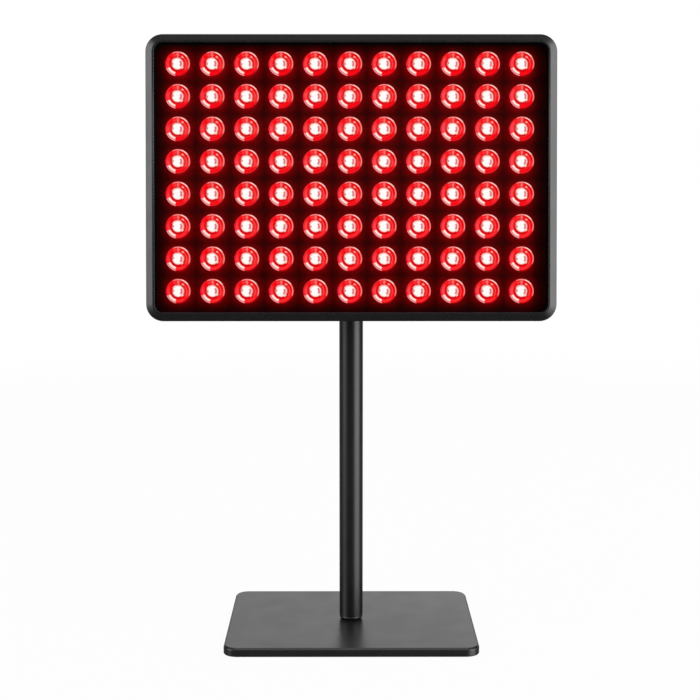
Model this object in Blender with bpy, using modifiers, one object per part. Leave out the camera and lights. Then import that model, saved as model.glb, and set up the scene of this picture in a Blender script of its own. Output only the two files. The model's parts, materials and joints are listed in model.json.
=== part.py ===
"""Desk-standing red light therapy panel: a lens panel that tilts on a tube stand with a flat steel base.

Metres, +Z up. The panel faces -Y, and the origin lies on the surface that the feet stand on,
below the middle of the base plate.
"""

import math

import bmesh
import bpy
from mathutils import Matrix

MM = 0.001
GAP = 0.3 * MM  # between two pieces that lie against each other

# Stand
FOOT_RADIUS = 9.0 * MM
FOOT_HEIGHT = 1.5 * MM
FOOT_INSET = 15.0 * MM
FOOT_POCKET = 1.0 * MM  # how far the feet are set into the plate
BASE_WIDTH = 199.0 * MM
BASE_DEPTH = 156.0 * MM
BASE_THICKNESS = 7.0 * MM
BASE_CORNER = 11.0 * MM
BASE_EDGE = 1.5 * MM
BASE_BOTTOM = FOOT_HEIGHT + GAP - FOOT_POCKET
BASE_TOP = BASE_BOTTOM + BASE_THICKNESS
BOLT_RADIUS = 4.0 * MM
BOLT_CLEARANCE = 0.35 * MM
POLE_RADIUS = 9.5 * MM
POLE_WALL = 1.5 * MM
POLE_BORE = POLE_RADIUS - POLE_WALL
PLUG_HEIGHT = 25.0 * MM
HINGE_HEIGHT = 321.7 * MM  # the tilt axis above the floor
POLE_TOP = HINGE_HEIGHT - 18.8 * MM
EYE_RADIUS = 10.0 * MM
EYE_WIDTH = 16.0 * MM
SET_SCREW_HEIGHT = HINGE_HEIGHT - 30.0 * MM

# Panel outline, and depths measured back from the front plane of the bezel
PANEL_WIDTH = 310.0 * MM
PANEL_HEIGHT = 216.0 * MM
PANEL_CORNER = 13.0 * MM
REST_LEAN = math.radians(6.0)
HINGE_DROP = -40.0 * MM  # from the panel's centre down to the tilt axis
PANEL_DEPTH = 42.0 * MM
PANEL_TO_AXIS = 23.5 * MM  # from the rear cover's face to the tilt axis
BEZEL_WIDTH = 6.6 * MM
SKIRT_WALL = 2.2 * MM
SKIRT_END = 25.0 * MM
LEDGE_DEPTH = 13.7 * MM
BOARD_FRONT = LEDGE_DEPTH + GAP
BOARD_THICKNESS = 1.6 * MM
BOARD_INSET = SKIRT_WALL + 0.7 * MM
SINK_FRONT = BOARD_FRONT + BOARD_THICKNESS + GAP
SINK_THICKNESS = 2.1 * MM
FIN_END = 26.5 * MM
COVER_INSET = SKIRT_WALL + GAP
COVER_WALL = 2.0 * MM
COVER_FRONT = SINK_FRONT + SINK_THICKNESS + GAP
COVER_INSIDE = PANEL_DEPTH - COVER_WALL

# Lenses and emitters
COLUMNS = 11
ROWS = 8
COLUMN_PITCH = 26.0 * MM
ROW_PITCH = 24.5 * MM
GRID_MIDDLE = (-1.2 * MM, 0.5 * MM)  # (x, z) of the lenses' middle, a little left of and above the panel's
LENS_RADIUS = 9.5 * MM
LENS_BOTTOM = 12.8 * MM
LENS_SIDES = 12
EMITTER_SIDE = 3.4 * MM
EMITTER_HEIGHT = 0.9 * MM

# Things on the rear cover, as (x, z) from the panel's centre
FAN_PLACES = {"left": (-88.0 * MM, 14.0 * MM), "right": (88.0 * MM, 14.0 * MM)}
FAN_SIDE = 60.0 * MM
FAN_THICKNESS = 10.0 * MM
FAN_DUCT = 28.5 * MM
DRIVER_PLACE = (0.0, 52.0 * MM)
DRIVER_SIZE = (90.0 * MM, 56.0 * MM)
DRIVER_FRONT = 30.3 * MM
INLET_PLACE = (102.0 * MM, -78.0 * MM)
SWITCH_PLACE = (70.0 * MM, -78.0 * MM)
SWITCH_PIVOT = 42.6 * MM
ROCKER_TILT = math.radians(8.0)
BRACKET_WIDTH = 60.0 * MM
BRACKET_HEIGHT = 70.0 * MM
BRACKET_PLATE = 3.0 * MM
BRACKET_SCREWS = [(x * 21.0 * MM, z * 27.0 * MM) for x in (-1, 1) for z in (-1, 1)]
EAR_INNER = EYE_WIDTH / 2 + 0.8 * MM + 2 * GAP
EAR_THICKNESS = 4.0 * MM
SIDE_SCREW_DEPTH = 21.8 * MM
SIDE_SCREW_SPREAD = 100.0 * MM

# Turns of local +Z
TO_FRONT = (math.pi / 2, 0.0, 0.0)
TO_REAR = (-math.pi / 2, 0.0, 0.0)
TO_RIGHT = (0.0, math.pi / 2, 0.0)
UPRIGHT = (0.0, 0.0, 0.0)

BLACK_PAINT = ("black_paint", (0.010, 0.010, 0.0105), 0.33, 0.0)
COVER_PAINT = ("black_paint_aluminium", (0.0135, 0.0135, 0.014), 0.42, 0.0)
BLACK_PLASTIC = ("black_plastic", (0.011, 0.011, 0.0115), 0.35, 0.0)
BLACK_MASK = ("black_solder_mask", (0.030, 0.006, 0.006), 0.40, 0.0)
RED_LENS = ("red_lens", (0.90, 0.03, 0.03), 0.12, 0.0)
RUBBER = ("black_rubber", (0.015, 0.015, 0.015), 0.80, 0.0)
STEEL = ("bright_steel", (0.55, 0.55, 0.56), 0.30, 1.0)
BLACK_STEEL = ("black_oxide_steel", (0.06, 0.06, 0.065), 0.38, 1.0)
ALUMINIUM = ("aluminium", (0.62, 0.63, 0.65), 0.42, 1.0)
GREEN_BOARD = ("green_board", (0.02, 0.16, 0.07), 0.45, 0.0)
COPPER = ("copper_winding", (0.60, 0.27, 0.12), 0.35, 1.0)
WIRE_SLEEVE = ("black_wire_sleeve", (0.025, 0.025, 0.025), 0.60, 0.0)


def clear_scene():
    """Removes what the file opened with."""
    for obj in list(bpy.data.objects):
        bpy.data.objects.remove(obj, do_unlink=True)


def new_collection(name):
    """Adds a collection to the scene."""
    collection = bpy.data.collections.new(name)
    bpy.context.scene.collection.children.link(collection)
    return collection


clear_scene()
PARTS = new_collection("red_light_therapy_panel")
CUTTERS = new_collection("cutters")


def material(look):
    """The Principled material of a (name, colour, roughness, metallic) look."""
    name, colour, roughness, metallic = look
    found = bpy.data.materials.get(name)
    if found is None:
        found = bpy.data.materials.new(name)
        found.use_nodes = True
        shader = found.node_tree.nodes["Principled BSDF"]
        shader.inputs["Base Color"].default_value = (*colour, 1.0)
        shader.inputs["Roughness"].default_value = roughness
        shader.inputs["Metallic"].default_value = metallic
    return found


def place(name, data, look=None, at=(0.0, 0.0, 0.0), turn=UPRIGHT, parent=None):
    """Adds an object. Without a look it is a cutter, which no render shows."""
    obj = bpy.data.objects.new(name, data)
    (PARTS if look else CUTTERS).objects.link(obj)
    obj.location = at
    obj.rotation_euler = turn
    obj.parent = parent
    if look:
        data.materials.clear()
        data.materials.append(material(look))
    else:
        obj.hide_render = True
        obj.display_type = "WIRE"
    return obj


def pivot(name, at, parent=None, turn=UPRIGHT):
    """An empty that marks a joint's axis or a datum."""
    empty = bpy.data.objects.new(name, None)
    PARTS.objects.link(empty)
    empty.location = at
    empty.rotation_euler = turn
    empty.parent = parent
    return empty


def smooth(mesh, angle=math.radians(40)):
    """Shades a mesh smooth, apart from its edges that are sharper than the angle."""
    mesh.shade_smooth()
    mesh.set_sharp_from_angle(angle=angle)
    return mesh


def mesh_from(bm, name):
    """The mesh of a finished bmesh, with its faces pointing out."""
    bmesh.ops.recalc_face_normals(bm, faces=bm.faces)
    mesh = bpy.data.meshes.new(name)
    bm.to_mesh(mesh)
    bm.free()
    return mesh


def baked(obj):
    """The evaluated mesh of an object, with coincident points welded. The object is removed."""
    bpy.context.view_layer.update()
    graph = bpy.context.evaluated_depsgraph_get()
    mesh = bpy.data.meshes.new_from_object(obj.evaluated_get(graph))
    bm = bmesh.new()
    bm.from_mesh(mesh)
    bmesh.ops.remove_doubles(bm, verts=bm.verts, dist=0.001 * MM)
    bm.to_mesh(mesh)
    bm.free()
    bpy.data.objects.remove(obj)
    return mesh


def add_box(bm, size, centre=(0.0, 0.0, 0.0)):
    """A box in a bmesh, by its full sides."""
    shape = Matrix.Translation(centre) @ Matrix.Diagonal((*size, 1.0))
    return bmesh.ops.create_cube(bm, size=1.0, matrix=shape)["verts"]


def add_cone(bm, radii, length, centre=(0.0, 0.0, 0.0), sides=20, axis="Z"):
    """A cylinder or cone in a bmesh. radii are at the low and high end of its axis."""
    turns = {"X": Matrix.Rotation(math.pi / 2, 4, "Y"), "Y": Matrix.Rotation(-math.pi / 2, 4, "X")}
    shape = Matrix.Translation(centre) @ turns.get(axis, Matrix.Identity(4))
    bmesh.ops.create_cone(
        bm, cap_ends=True, segments=sides, radius1=radii[0], radius2=radii[1], depth=length, matrix=shape
    )


def box_mesh(name, size, centres=((0.0, 0.0, 0.0),)):
    """One mesh of separate boxes of one size."""
    bm = bmesh.new()
    for centre in centres:
        add_box(bm, size, centre)
    return mesh_from(bm, name)


def cylinder_mesh(name, radius, length, sides=20, centres=((0.0, 0.0, 0.0),), axis="Z"):
    """One mesh of separate cylinders of one size."""
    bm = bmesh.new()
    for centre in centres:
        add_cone(bm, (radius, radius), length, centre, sides, axis)
    return smooth(mesh_from(bm, name))


def rounded_box(name, width, height, thickness, corner, steps=4):
    """A flat box in local XY, whose four corners are rounded."""
    bm = bmesh.new()
    add_box(bm, (width, height, thickness))
    upright = [e for e in bm.edges if abs(e.verts[0].co.z - e.verts[1].co.z) > thickness / 2]
    bmesh.ops.bevel(bm, geom=upright, offset=corner, segments=steps, profile=0.5, affect="EDGES")
    return smooth(mesh_from(bm, name))


def turned(name, profile, look=None, sides=24, closed=False, **where):
    """A turned piece about local Z. The profile's (radius, height) points run down its outer side."""
    mesh = bpy.data.meshes.new(name)
    count = len(profile)
    edges = [(i, i + 1) for i in range(count - 1)]
    if closed:
        edges.append((count - 1, 0))
    mesh.from_pydata([(r, 0.0, z) for r, z in profile], edges, [])
    obj = place(name, mesh, look, **where)
    screw = obj.modifiers.new("turn", "SCREW")
    screw.steps = screw.render_steps = sides
    screw.use_merge_vertices = True
    screw.merge_threshold = 0.01 * MM
    screw.use_smooth_shade = True
    return obj


def turned_mesh(name, profile, sides, closed=False):
    """The plain mesh of a turned piece, for pieces that share it."""
    return smooth(baked(turned(name + "_pattern", profile, sides=sides, closed=closed)))


def ring_profile(outer, inner, low, high):
    """The closed profile of a plain ring."""
    return [(outer, high), (outer, low), (inner, low), (inner, high)]


def curve_data(name, outlines, cyclic=True, dimensions="2D"):
    """A curve of straight runs between points."""
    curve = bpy.data.curves.new(name, "CURVE")
    curve.dimensions = dimensions
    for outline in outlines:
        spline = curve.splines.new("POLY")
        spline.points.add(len(outline) - 1)
        spline.use_cyclic_u = cyclic
        for point, place_of in zip(spline.points, outline):
            point.co = (*place_of, *(0.0,) * (3 - len(place_of)), 1.0)
    return curve


def extruded_mesh(name, outlines, thickness):
    """The mesh of flat outlines in local XY, extruded evenly about their plane."""
    curve = curve_data(name, outlines)
    curve.fill_mode = "BOTH"
    curve.extrude = thickness / 2
    return baked(place(name + "_outline", curve))


def arc(centre, radius, start, end, steps):
    """Points of an arc, from one angle to another in degrees."""
    angles = [math.radians(start + (end - start) * i / steps) for i in range(steps + 1)]
    return [(centre[0] + radius * math.cos(a), centre[1] + radius * math.sin(a)) for a in angles]


def rounded_rectangle(width, height, corner, steps):
    """Points round a rectangle with round corners."""
    points = []
    for quarter, (across, up) in enumerate(((1, 1), (-1, 1), (-1, -1), (1, -1))):
        centre = (across * (width / 2 - corner), up * (height / 2 - corner))
        points += arc(centre, corner, 90 * quarter, 90 * (quarter + 1), steps)
    return points


def slot_outline(centre, width, length, steps=4):
    """A slot that stands along local Y, with round ends."""
    x, y = centre
    reach = (length - width) / 2
    return arc((x, y + reach), width / 2, 0, 180, steps) + arc((x, y - reach), width / 2, 180, 360, steps)


def combine(obj, other, operation):
    """Adds a Boolean with another object."""
    boolean = obj.modifiers.new(operation.lower(), "BOOLEAN")
    boolean.operation = operation
    boolean.object = other
    return obj


def cut(obj, mesh, **where):
    """Cuts a mesh, placed as a hidden cutter, from an object."""
    return combine(obj, place(obj.name + "_cutter_" + str(len(obj.modifiers)), mesh, **where), "DIFFERENCE")


def fuse(obj, mesh, **where):
    """Joins a mesh, placed as a hidden helper, to an object."""
    return combine(obj, place(obj.name + "_addition_" + str(len(obj.modifiers)), mesh, **where), "UNION")


def soften(obj, width, steps=2):
    """Rounds an object's sharp edges."""
    bevel = obj.modifiers.new("edges", "BEVEL")
    bevel.width = width
    bevel.segments = steps
    bevel.limit_method = "ANGLE"
    bevel.angle_limit = math.radians(50)
    return obj


def wire(name, points, radius, look, **where):
    """A round lead whose bends are rounded off at each inner point. It leaves both end points straight."""

    def between(one, other):
        return [(a + b) / 2 for a, b in zip(one, other)]

    route = [points[0], between(points[0], points[1])]
    for before, middle, after in zip(points, points[1:], points[2:]):
        start, end = between(before, middle), between(middle, after)
        for t in (0.3, 0.7, 1.0):
            weights = ((1 - t) ** 2, 2 * t * (1 - t), t * t)
            route.append([sum(w * p for w, p in zip(weights, axis)) for axis in zip(start, middle, end)])
    route.append(points[-1])
    curve = curve_data(name, [route], cyclic=False, dimensions="3D")
    curve.bevel_depth = radius
    curve.bevel_resolution = 2
    curve.use_fill_caps = True
    return place(name, curve, look, **where)


def build_base():
    """The steel plate with its feet, and the bolt that holds the pole."""
    plate = place(
        "base_plate",
        rounded_box("base_plate", BASE_WIDTH, BASE_DEPTH, BASE_THICKNESS, BASE_CORNER, steps=6),
        BLACK_PAINT,
        at=(0.0, 0.0, BASE_BOTTOM + BASE_THICKNESS / 2),
    )
    soften(plate, BASE_EDGE, steps=3)

    def bolt_profile(clearance, top):
        head_radius = 7.6 * MM + clearance
        head_low = BASE_BOTTOM + 0.2 * MM - clearance
        neck = BASE_BOTTOM + 4.0 * MM
        shank = BOLT_RADIUS + clearance
        return [(0.0, top), (shank, top), (shank, neck), (head_radius, head_low), (0.0, head_low)]

    hole = turned("base_plate_bolt_hole", bolt_profile(BOLT_CLEARANCE, BASE_TOP + 1 * MM), sides=20)
    combine(plate, hole, "DIFFERENCE")
    bolt = turned("base_bolt", bolt_profile(0.0, BASE_TOP + PLUG_HEIGHT - 3 * MM), BLACK_STEEL, sides=20)
    cut(bolt, cylinder_mesh("socket", 2.9 * MM, 5 * MM, sides=6), at=(0.0, 0.0, BASE_BOTTOM + 0.3 * MM))

    foot_profile = [
        (0.0, FOOT_HEIGHT),
        (FOOT_RADIUS, FOOT_HEIGHT),
        (FOOT_RADIUS, 0.4 * MM),
        (FOOT_RADIUS - 0.4 * MM, 0.0),
        (0.0, 0.0),
    ]
    foot = turned_mesh("foot", foot_profile, sides=20)
    pocket = cylinder_mesh("foot_pocket", FOOT_RADIUS + GAP, 2 * FOOT_POCKET)
    for side, x in (("left", -1), ("right", 1)):
        for end, y in (("front", -1), ("rear", 1)):
            across, along = x * (BASE_WIDTH / 2 - FOOT_INSET), y * (BASE_DEPTH / 2 - FOOT_INSET)
            place(f"foot_{end}_{side}", foot, RUBBER, at=(across, along, 0.0))
            cut(plate, pocket, at=(across, along, BASE_BOTTOM))


def build_pole():
    """The tube, the threaded plug in its foot, and the hinge head in its top."""
    foot, chamfer = BASE_TOP + GAP, 1.2 * MM
    pole_profile = [
        (POLE_RADIUS, POLE_TOP),
        (POLE_RADIUS, foot + chamfer),
        (POLE_RADIUS - chamfer, foot),
        (POLE_BORE, foot),
        (POLE_BORE, POLE_TOP),
    ]
    pole = turned("pole", pole_profile, BLACK_PAINT, sides=32, closed=True)
    hole = cylinder_mesh("set_screw_hole", 2.3 * MM, 8 * MM, sides=12, axis="Y")
    cut(pole, hole, at=(0.0, POLE_RADIUS, SET_SCREW_HEIGHT))

    plug = ring_profile(POLE_BORE - GAP, BOLT_RADIUS + BOLT_CLEARANCE, foot, foot + PLUG_HEIGHT)
    turned("pole_plug", plug, STEEL, sides=20, closed=True)

    shoulder, spigot_low = POLE_TOP + GAP, POLE_TOP - 22 * MM
    neck_low = shoulder + 2.5 * MM
    head_profile = [
        (0.0, neck_low),
        (POLE_RADIUS - 0.6 * MM, neck_low),
        (POLE_RADIUS, neck_low - 0.6 * MM),
        (POLE_RADIUS, shoulder),
        (POLE_BORE - GAP, shoulder),
        (POLE_BORE - GAP, spigot_low),
        (0.0, spigot_low),
    ]
    head = turned("hinge_head", head_profile, BLACK_PAINT, sides=24)
    neck_height = HINGE_HEIGHT - neck_low + 1 * MM
    neck = box_mesh("neck", (EYE_WIDTH - 1 * MM, 14 * MM, neck_height))
    fuse(head, neck, at=(0.0, 0.0, HINGE_HEIGHT - neck_height / 2))
    fuse(head, cylinder_mesh("eye", EYE_RADIUS, EYE_WIDTH, sides=28, axis="X"), at=(0.0, 0.0, HINGE_HEIGHT))
    bore = cylinder_mesh("pivot_bore", BOLT_RADIUS + BOLT_CLEARANCE, 30 * MM, axis="X")
    cut(head, bore, at=(0.0, 0.0, HINGE_HEIGHT))
    seat = cylinder_mesh("set_screw_seat", 2.3 * MM, 8 * MM, sides=12, axis="Y")
    cut(head, seat, at=(0.0, 7.2 * MM, SET_SCREW_HEIGHT))

    screw = place(
        "head_set_screw",
        cylinder_mesh("head_set_screw", 2.0 * MM, 5.6 * MM, sides=12, axis="Y"),
        BLACK_STEEL,
        at=(0.0, 6.4 * MM, SET_SCREW_HEIGHT),
    )
    socket = cylinder_mesh("set_screw_socket", 1.15 * MM, 4 * MM, sides=6, axis="Y")
    cut(screw, socket, at=(0.0, 9.2 * MM, SET_SCREW_HEIGHT))


def side_screw_places():
    """(name, place, turn) of the six screws that hold the bezel's skirt, from the panel's datum."""
    high = PANEL_HEIGHT / 2
    wide = PANEL_WIDTH / 2
    for name, x in (("left", -SIDE_SCREW_SPREAD), ("right", SIDE_SCREW_SPREAD)):
        yield f"side_screw_top_{name}", (x, SIDE_SCREW_DEPTH, high), UPRIGHT
        yield f"side_screw_bottom_{name}", (x, SIDE_SCREW_DEPTH, -high), (math.pi, 0.0, 0.0)
    yield "side_screw_left", (-wide, SIDE_SCREW_DEPTH, 0.0), (0.0, -math.pi / 2, 0.0)
    yield "side_screw_right", (wide, SIDE_SCREW_DEPTH, 0.0), TO_RIGHT


def side_screw_profile(clearance, top):
    """A countersunk screw that points down, with its head's face just under the skirt's surface."""
    head, shank, neck = 2.6 * MM + clearance, 1.2 * MM + clearance, -1.6 * MM
    end = -6.4 * MM - clearance
    return [(0.0, top), (head, top), (head, -0.15 * MM), (shank, neck), (shank, end), (0.0, end)]


def build_bezel(datum):
    """The front frame: its section swept round the panel's outline, and the screws in its skirt."""
    lip = BEZEL_WIDTH
    section = [
        (0.0, SKIRT_END),
        (0.0, 3.4 * MM),
        (0.35 * MM, 2.75 * MM),
        (3.3 * MM, 0.85 * MM),
        (4.6 * MM, 0.25 * MM),
        (5.5 * MM, 0.0),
        (lip - 0.5 * MM, 0.0),
        (lip - 0.1 * MM, 0.25 * MM),
        (lip, 0.8 * MM),
        (lip, LEDGE_DEPTH),
        (SKIRT_WALL, LEDGE_DEPTH),
        (SKIRT_WALL, SKIRT_END),
    ]
    path = curve_data("bezel_path", [rounded_rectangle(PANEL_WIDTH, PANEL_HEIGHT, PANEL_CORNER, 6)])
    path.bevel_mode = "OBJECT"
    path.bevel_object = place("bezel_section", curve_data("bezel_section", [[(n, -t) for n, t in section]]))
    swept = baked(place("bezel_sweep", path))
    bm = bmesh.new()
    bm.from_mesh(swept)
    bmesh.ops.recalc_face_normals(bm, faces=bm.faces)
    bm.to_mesh(swept)
    bm.free()
    smooth(swept, math.radians(35))
    bezel = place("front_bezel", swept, BLACK_PLASTIC, turn=TO_FRONT, parent=datum)
    hole = turned_mesh("side_screw_hole", side_screw_profile(GAP, 1 * MM), sides=14)
    screw = baked(cut(
        turned("side_screw_pattern", side_screw_profile(0.0, -0.15 * MM), sides=14),
        cylinder_mesh("side_screw_socket", 1.15 * MM, 2.2 * MM, sides=6),
    ))
    for name, at, turn in side_screw_places():
        cut(bezel, hole, at=at, turn=turn, parent=datum)
        place(name, screw, BLACK_STEEL, at=at, turn=turn, parent=datum)


def build_light_field(datum):
    """The emitter board, the rows of lenses in front of it and the heat sink behind it."""
    width, height = PANEL_WIDTH - 2 * BOARD_INSET, PANEL_HEIGHT - 2 * BOARD_INSET
    corner = PANEL_CORNER - BOARD_INSET
    xs = [GRID_MIDDLE[0] + (i - (COLUMNS - 1) / 2) * COLUMN_PITCH for i in range(COLUMNS)]
    zs = [GRID_MIDDLE[1] + ((ROWS - 1) / 2 - i) * ROW_PITCH for i in range(ROWS)]

    board = place(
        "led_board",
        rounded_box("led_board", width, height, BOARD_THICKNESS, corner),
        BLACK_MASK,
        at=(0.0, BOARD_FRONT + BOARD_THICKNESS / 2, 0.0),
        turn=TO_FRONT,
        parent=datum,
    )
    sunk = 0.4 * MM
    size = (EMITTER_SIDE, EMITTER_HEIGHT + sunk, EMITTER_SIDE)
    depth = BOARD_FRONT + (sunk - EMITTER_HEIGHT) / 2
    fuse(board, box_mesh("emitters", size, [(x, depth, z) for x in xs for z in zs]), parent=datum)

    crown, valley, rim = (0.0, 7.2 * MM), (5.9 * MM, 5.5 * MM), (LENS_RADIUS, 6.4 * MM)
    lens_profile = [crown, valley, rim, (LENS_RADIUS - 0.9 * MM, 0.0), (0.0, 0.0)]
    rail = (COLUMN_PITCH * (COLUMNS - 1) + 12 * MM, 2.4 * MM, 1.6 * MM)
    row = turned("lens_row_pattern", lens_profile, sides=LENS_SIDES)
    row.location.x = xs[0]
    array = row.modifiers.new("columns", "ARRAY")
    array.count = COLUMNS
    array.use_relative_offset = False
    array.use_constant_offset = True
    array.constant_offset_displace = (COLUMN_PITCH, 0.0, 0.0)
    rail_low = LENS_BOTTOM - LEDGE_DEPTH
    fuse(row, box_mesh("lens_rail", rail), at=(0.0, -5.0 * MM, rail_low + rail[2] / 2))
    lens_row = smooth(baked(row), math.radians(30))
    for i, z in enumerate(zs):
        place(
            f"lens_row_{i + 1}",
            lens_row,
            RED_LENS,
            at=(xs[0], LENS_BOTTOM, z),
            turn=TO_FRONT,
            parent=datum,
        )

    sink = place(
        "heat_sink",
        rounded_box("heat_sink", width, height, SINK_THICKNESS, corner),
        ALUMINIUM,
        at=(0.0, SINK_FRONT + SINK_THICKNESS / 2, 0.0),
        turn=TO_FRONT,
        parent=datum,
    )
    fin, pitch, per_side, root = 1.8 * MM, 7.6 * MM, 11, SINK_FRONT + SINK_THICKNESS / 2
    fin_low, fin_high = -56 * MM, 96 * MM
    starts = [side * 54 * MM + side * pitch * i for side in (-1, 1) for i in range(per_side)]
    fin_size = (fin, FIN_END - root, fin_high - fin_low)
    centre_depth, centre_height = (FIN_END + root) / 2, (fin_low + fin_high) / 2
    fins = box_mesh("fins", fin_size, [(x, centre_depth, centre_height) for x in starts])
    fuse(sink, fins, parent=datum)
    lead_hole = cylinder_mesh("lead_hole", 3.2 * MM, 6 * MM, sides=12, axis="Y")
    cut(sink, lead_hole, at=(0.0, SINK_FRONT + SINK_THICKNESS / 2, 4 * MM), parent=datum)


def build_rear_cover(datum):
    """The tray behind the panel, with its vents, posts and openings."""
    width, height = PANEL_WIDTH - 2 * COVER_INSET, PANEL_HEIGHT - 2 * COVER_INSET
    deep = PANEL_DEPTH - COVER_FRONT
    bm = bmesh.new()
    add_box(bm, (width, height, deep))
    front = [f for f in bm.faces if f.normal.z > 0.5]
    bmesh.ops.delete(bm, geom=front, context="FACES_ONLY")
    upright = [e for e in bm.edges if abs(e.verts[0].co.z - e.verts[1].co.z) > deep / 2]
    corner = PANEL_CORNER - COVER_INSET
    bmesh.ops.bevel(bm, geom=upright, offset=corner, segments=5, profile=0.5, affect="EDGES")
    rear = [e for e in bm.edges if all(v.co.z < -deep / 2 + 0.01 * MM for v in e.verts)]
    bmesh.ops.bevel(bm, geom=rear, offset=3.0 * MM, segments=3, profile=0.5, affect="EDGES")
    mesh = bpy.data.meshes.new("rear_cover")
    bm.to_mesh(mesh)
    bm.free()
    cover = place(
        "rear_cover",
        smooth(mesh, math.radians(35)),
        COVER_PAINT,
        at=(0.0, (COVER_FRONT + PANEL_DEPTH) / 2, 0.0),
        turn=TO_FRONT,
        parent=datum,
    )
    shell = cover.modifiers.new("wall", "SOLIDIFY")
    shell.thickness = COVER_WALL
    shell.offset = -1.0
    shell.use_even_offset = True

    post_front = DRIVER_FRONT + BOARD_THICKNESS + GAP
    post_end = COVER_INSIDE + COVER_WALL / 2
    across, up = (side / 2 - 5 * MM for side in DRIVER_SIZE)
    posts = [
        (DRIVER_PLACE[0] + x * across, (post_front + post_end) / 2, DRIVER_PLACE[1] + z * up)
        for x in (-1, 1)
        for z in (-1, 1)
    ]
    fuse(cover, cylinder_mesh("driver_posts", 3 * MM, post_end - post_front, 12, posts, "Y"), parent=datum)
    pad_height = 4.2 * MM
    pad_centre = (0.0, 0.0, -COVER_INSET - 0.8 * MM - pad_height / 2)
    pad = box_mesh("screw_pad", (9 * MM, 6.6 * MM, pad_height), [pad_centre])
    hole = turned_mesh("pad_hole", side_screw_profile(GAP, 1 * MM), sides=14)
    for _, at, turn in side_screw_places():
        fuse(cover, pad, at=at, turn=turn, parent=datum)
        cut(cover, hole, at=at, turn=turn, parent=datum)

    slot, pitch, reach = 3.2 * MM, 6.2 * MM, 26.5 * MM
    slots = []
    for x, z in FAN_PLACES.values():
        for i in range(-4, 5):
            slots.append(slot_outline((x + i * pitch, z), slot, 2 * math.sqrt(reach**2 - (i * pitch) ** 2)))
    cut(
        cover,
        extruded_mesh("vent_slots", slots, 8 * MM),
        at=(0.0, PANEL_DEPTH - COVER_WALL / 2, 0.0),
        turn=TO_FRONT,
        parent=datum,
    )
    bm = bmesh.new()
    depth = PANEL_DEPTH - COVER_WALL / 2
    for x, z in BRACKET_SCREWS:
        add_cone(bm, (2.3 * MM, 2.3 * MM), 8 * MM, (x, depth, z + HINGE_DROP), 12, "Y")
    add_cone(bm, (5.3 * MM, 5.3 * MM), 8 * MM, (INLET_PLACE[0], depth, INLET_PLACE[1]), 20, "Y")
    add_box(bm, (13.0 * MM, 8 * MM, 19.0 * MM), (SWITCH_PLACE[0], depth, SWITCH_PLACE[1]))
    cut(cover, mesh_from(bm, "rear_holes"), parent=datum)


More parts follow.
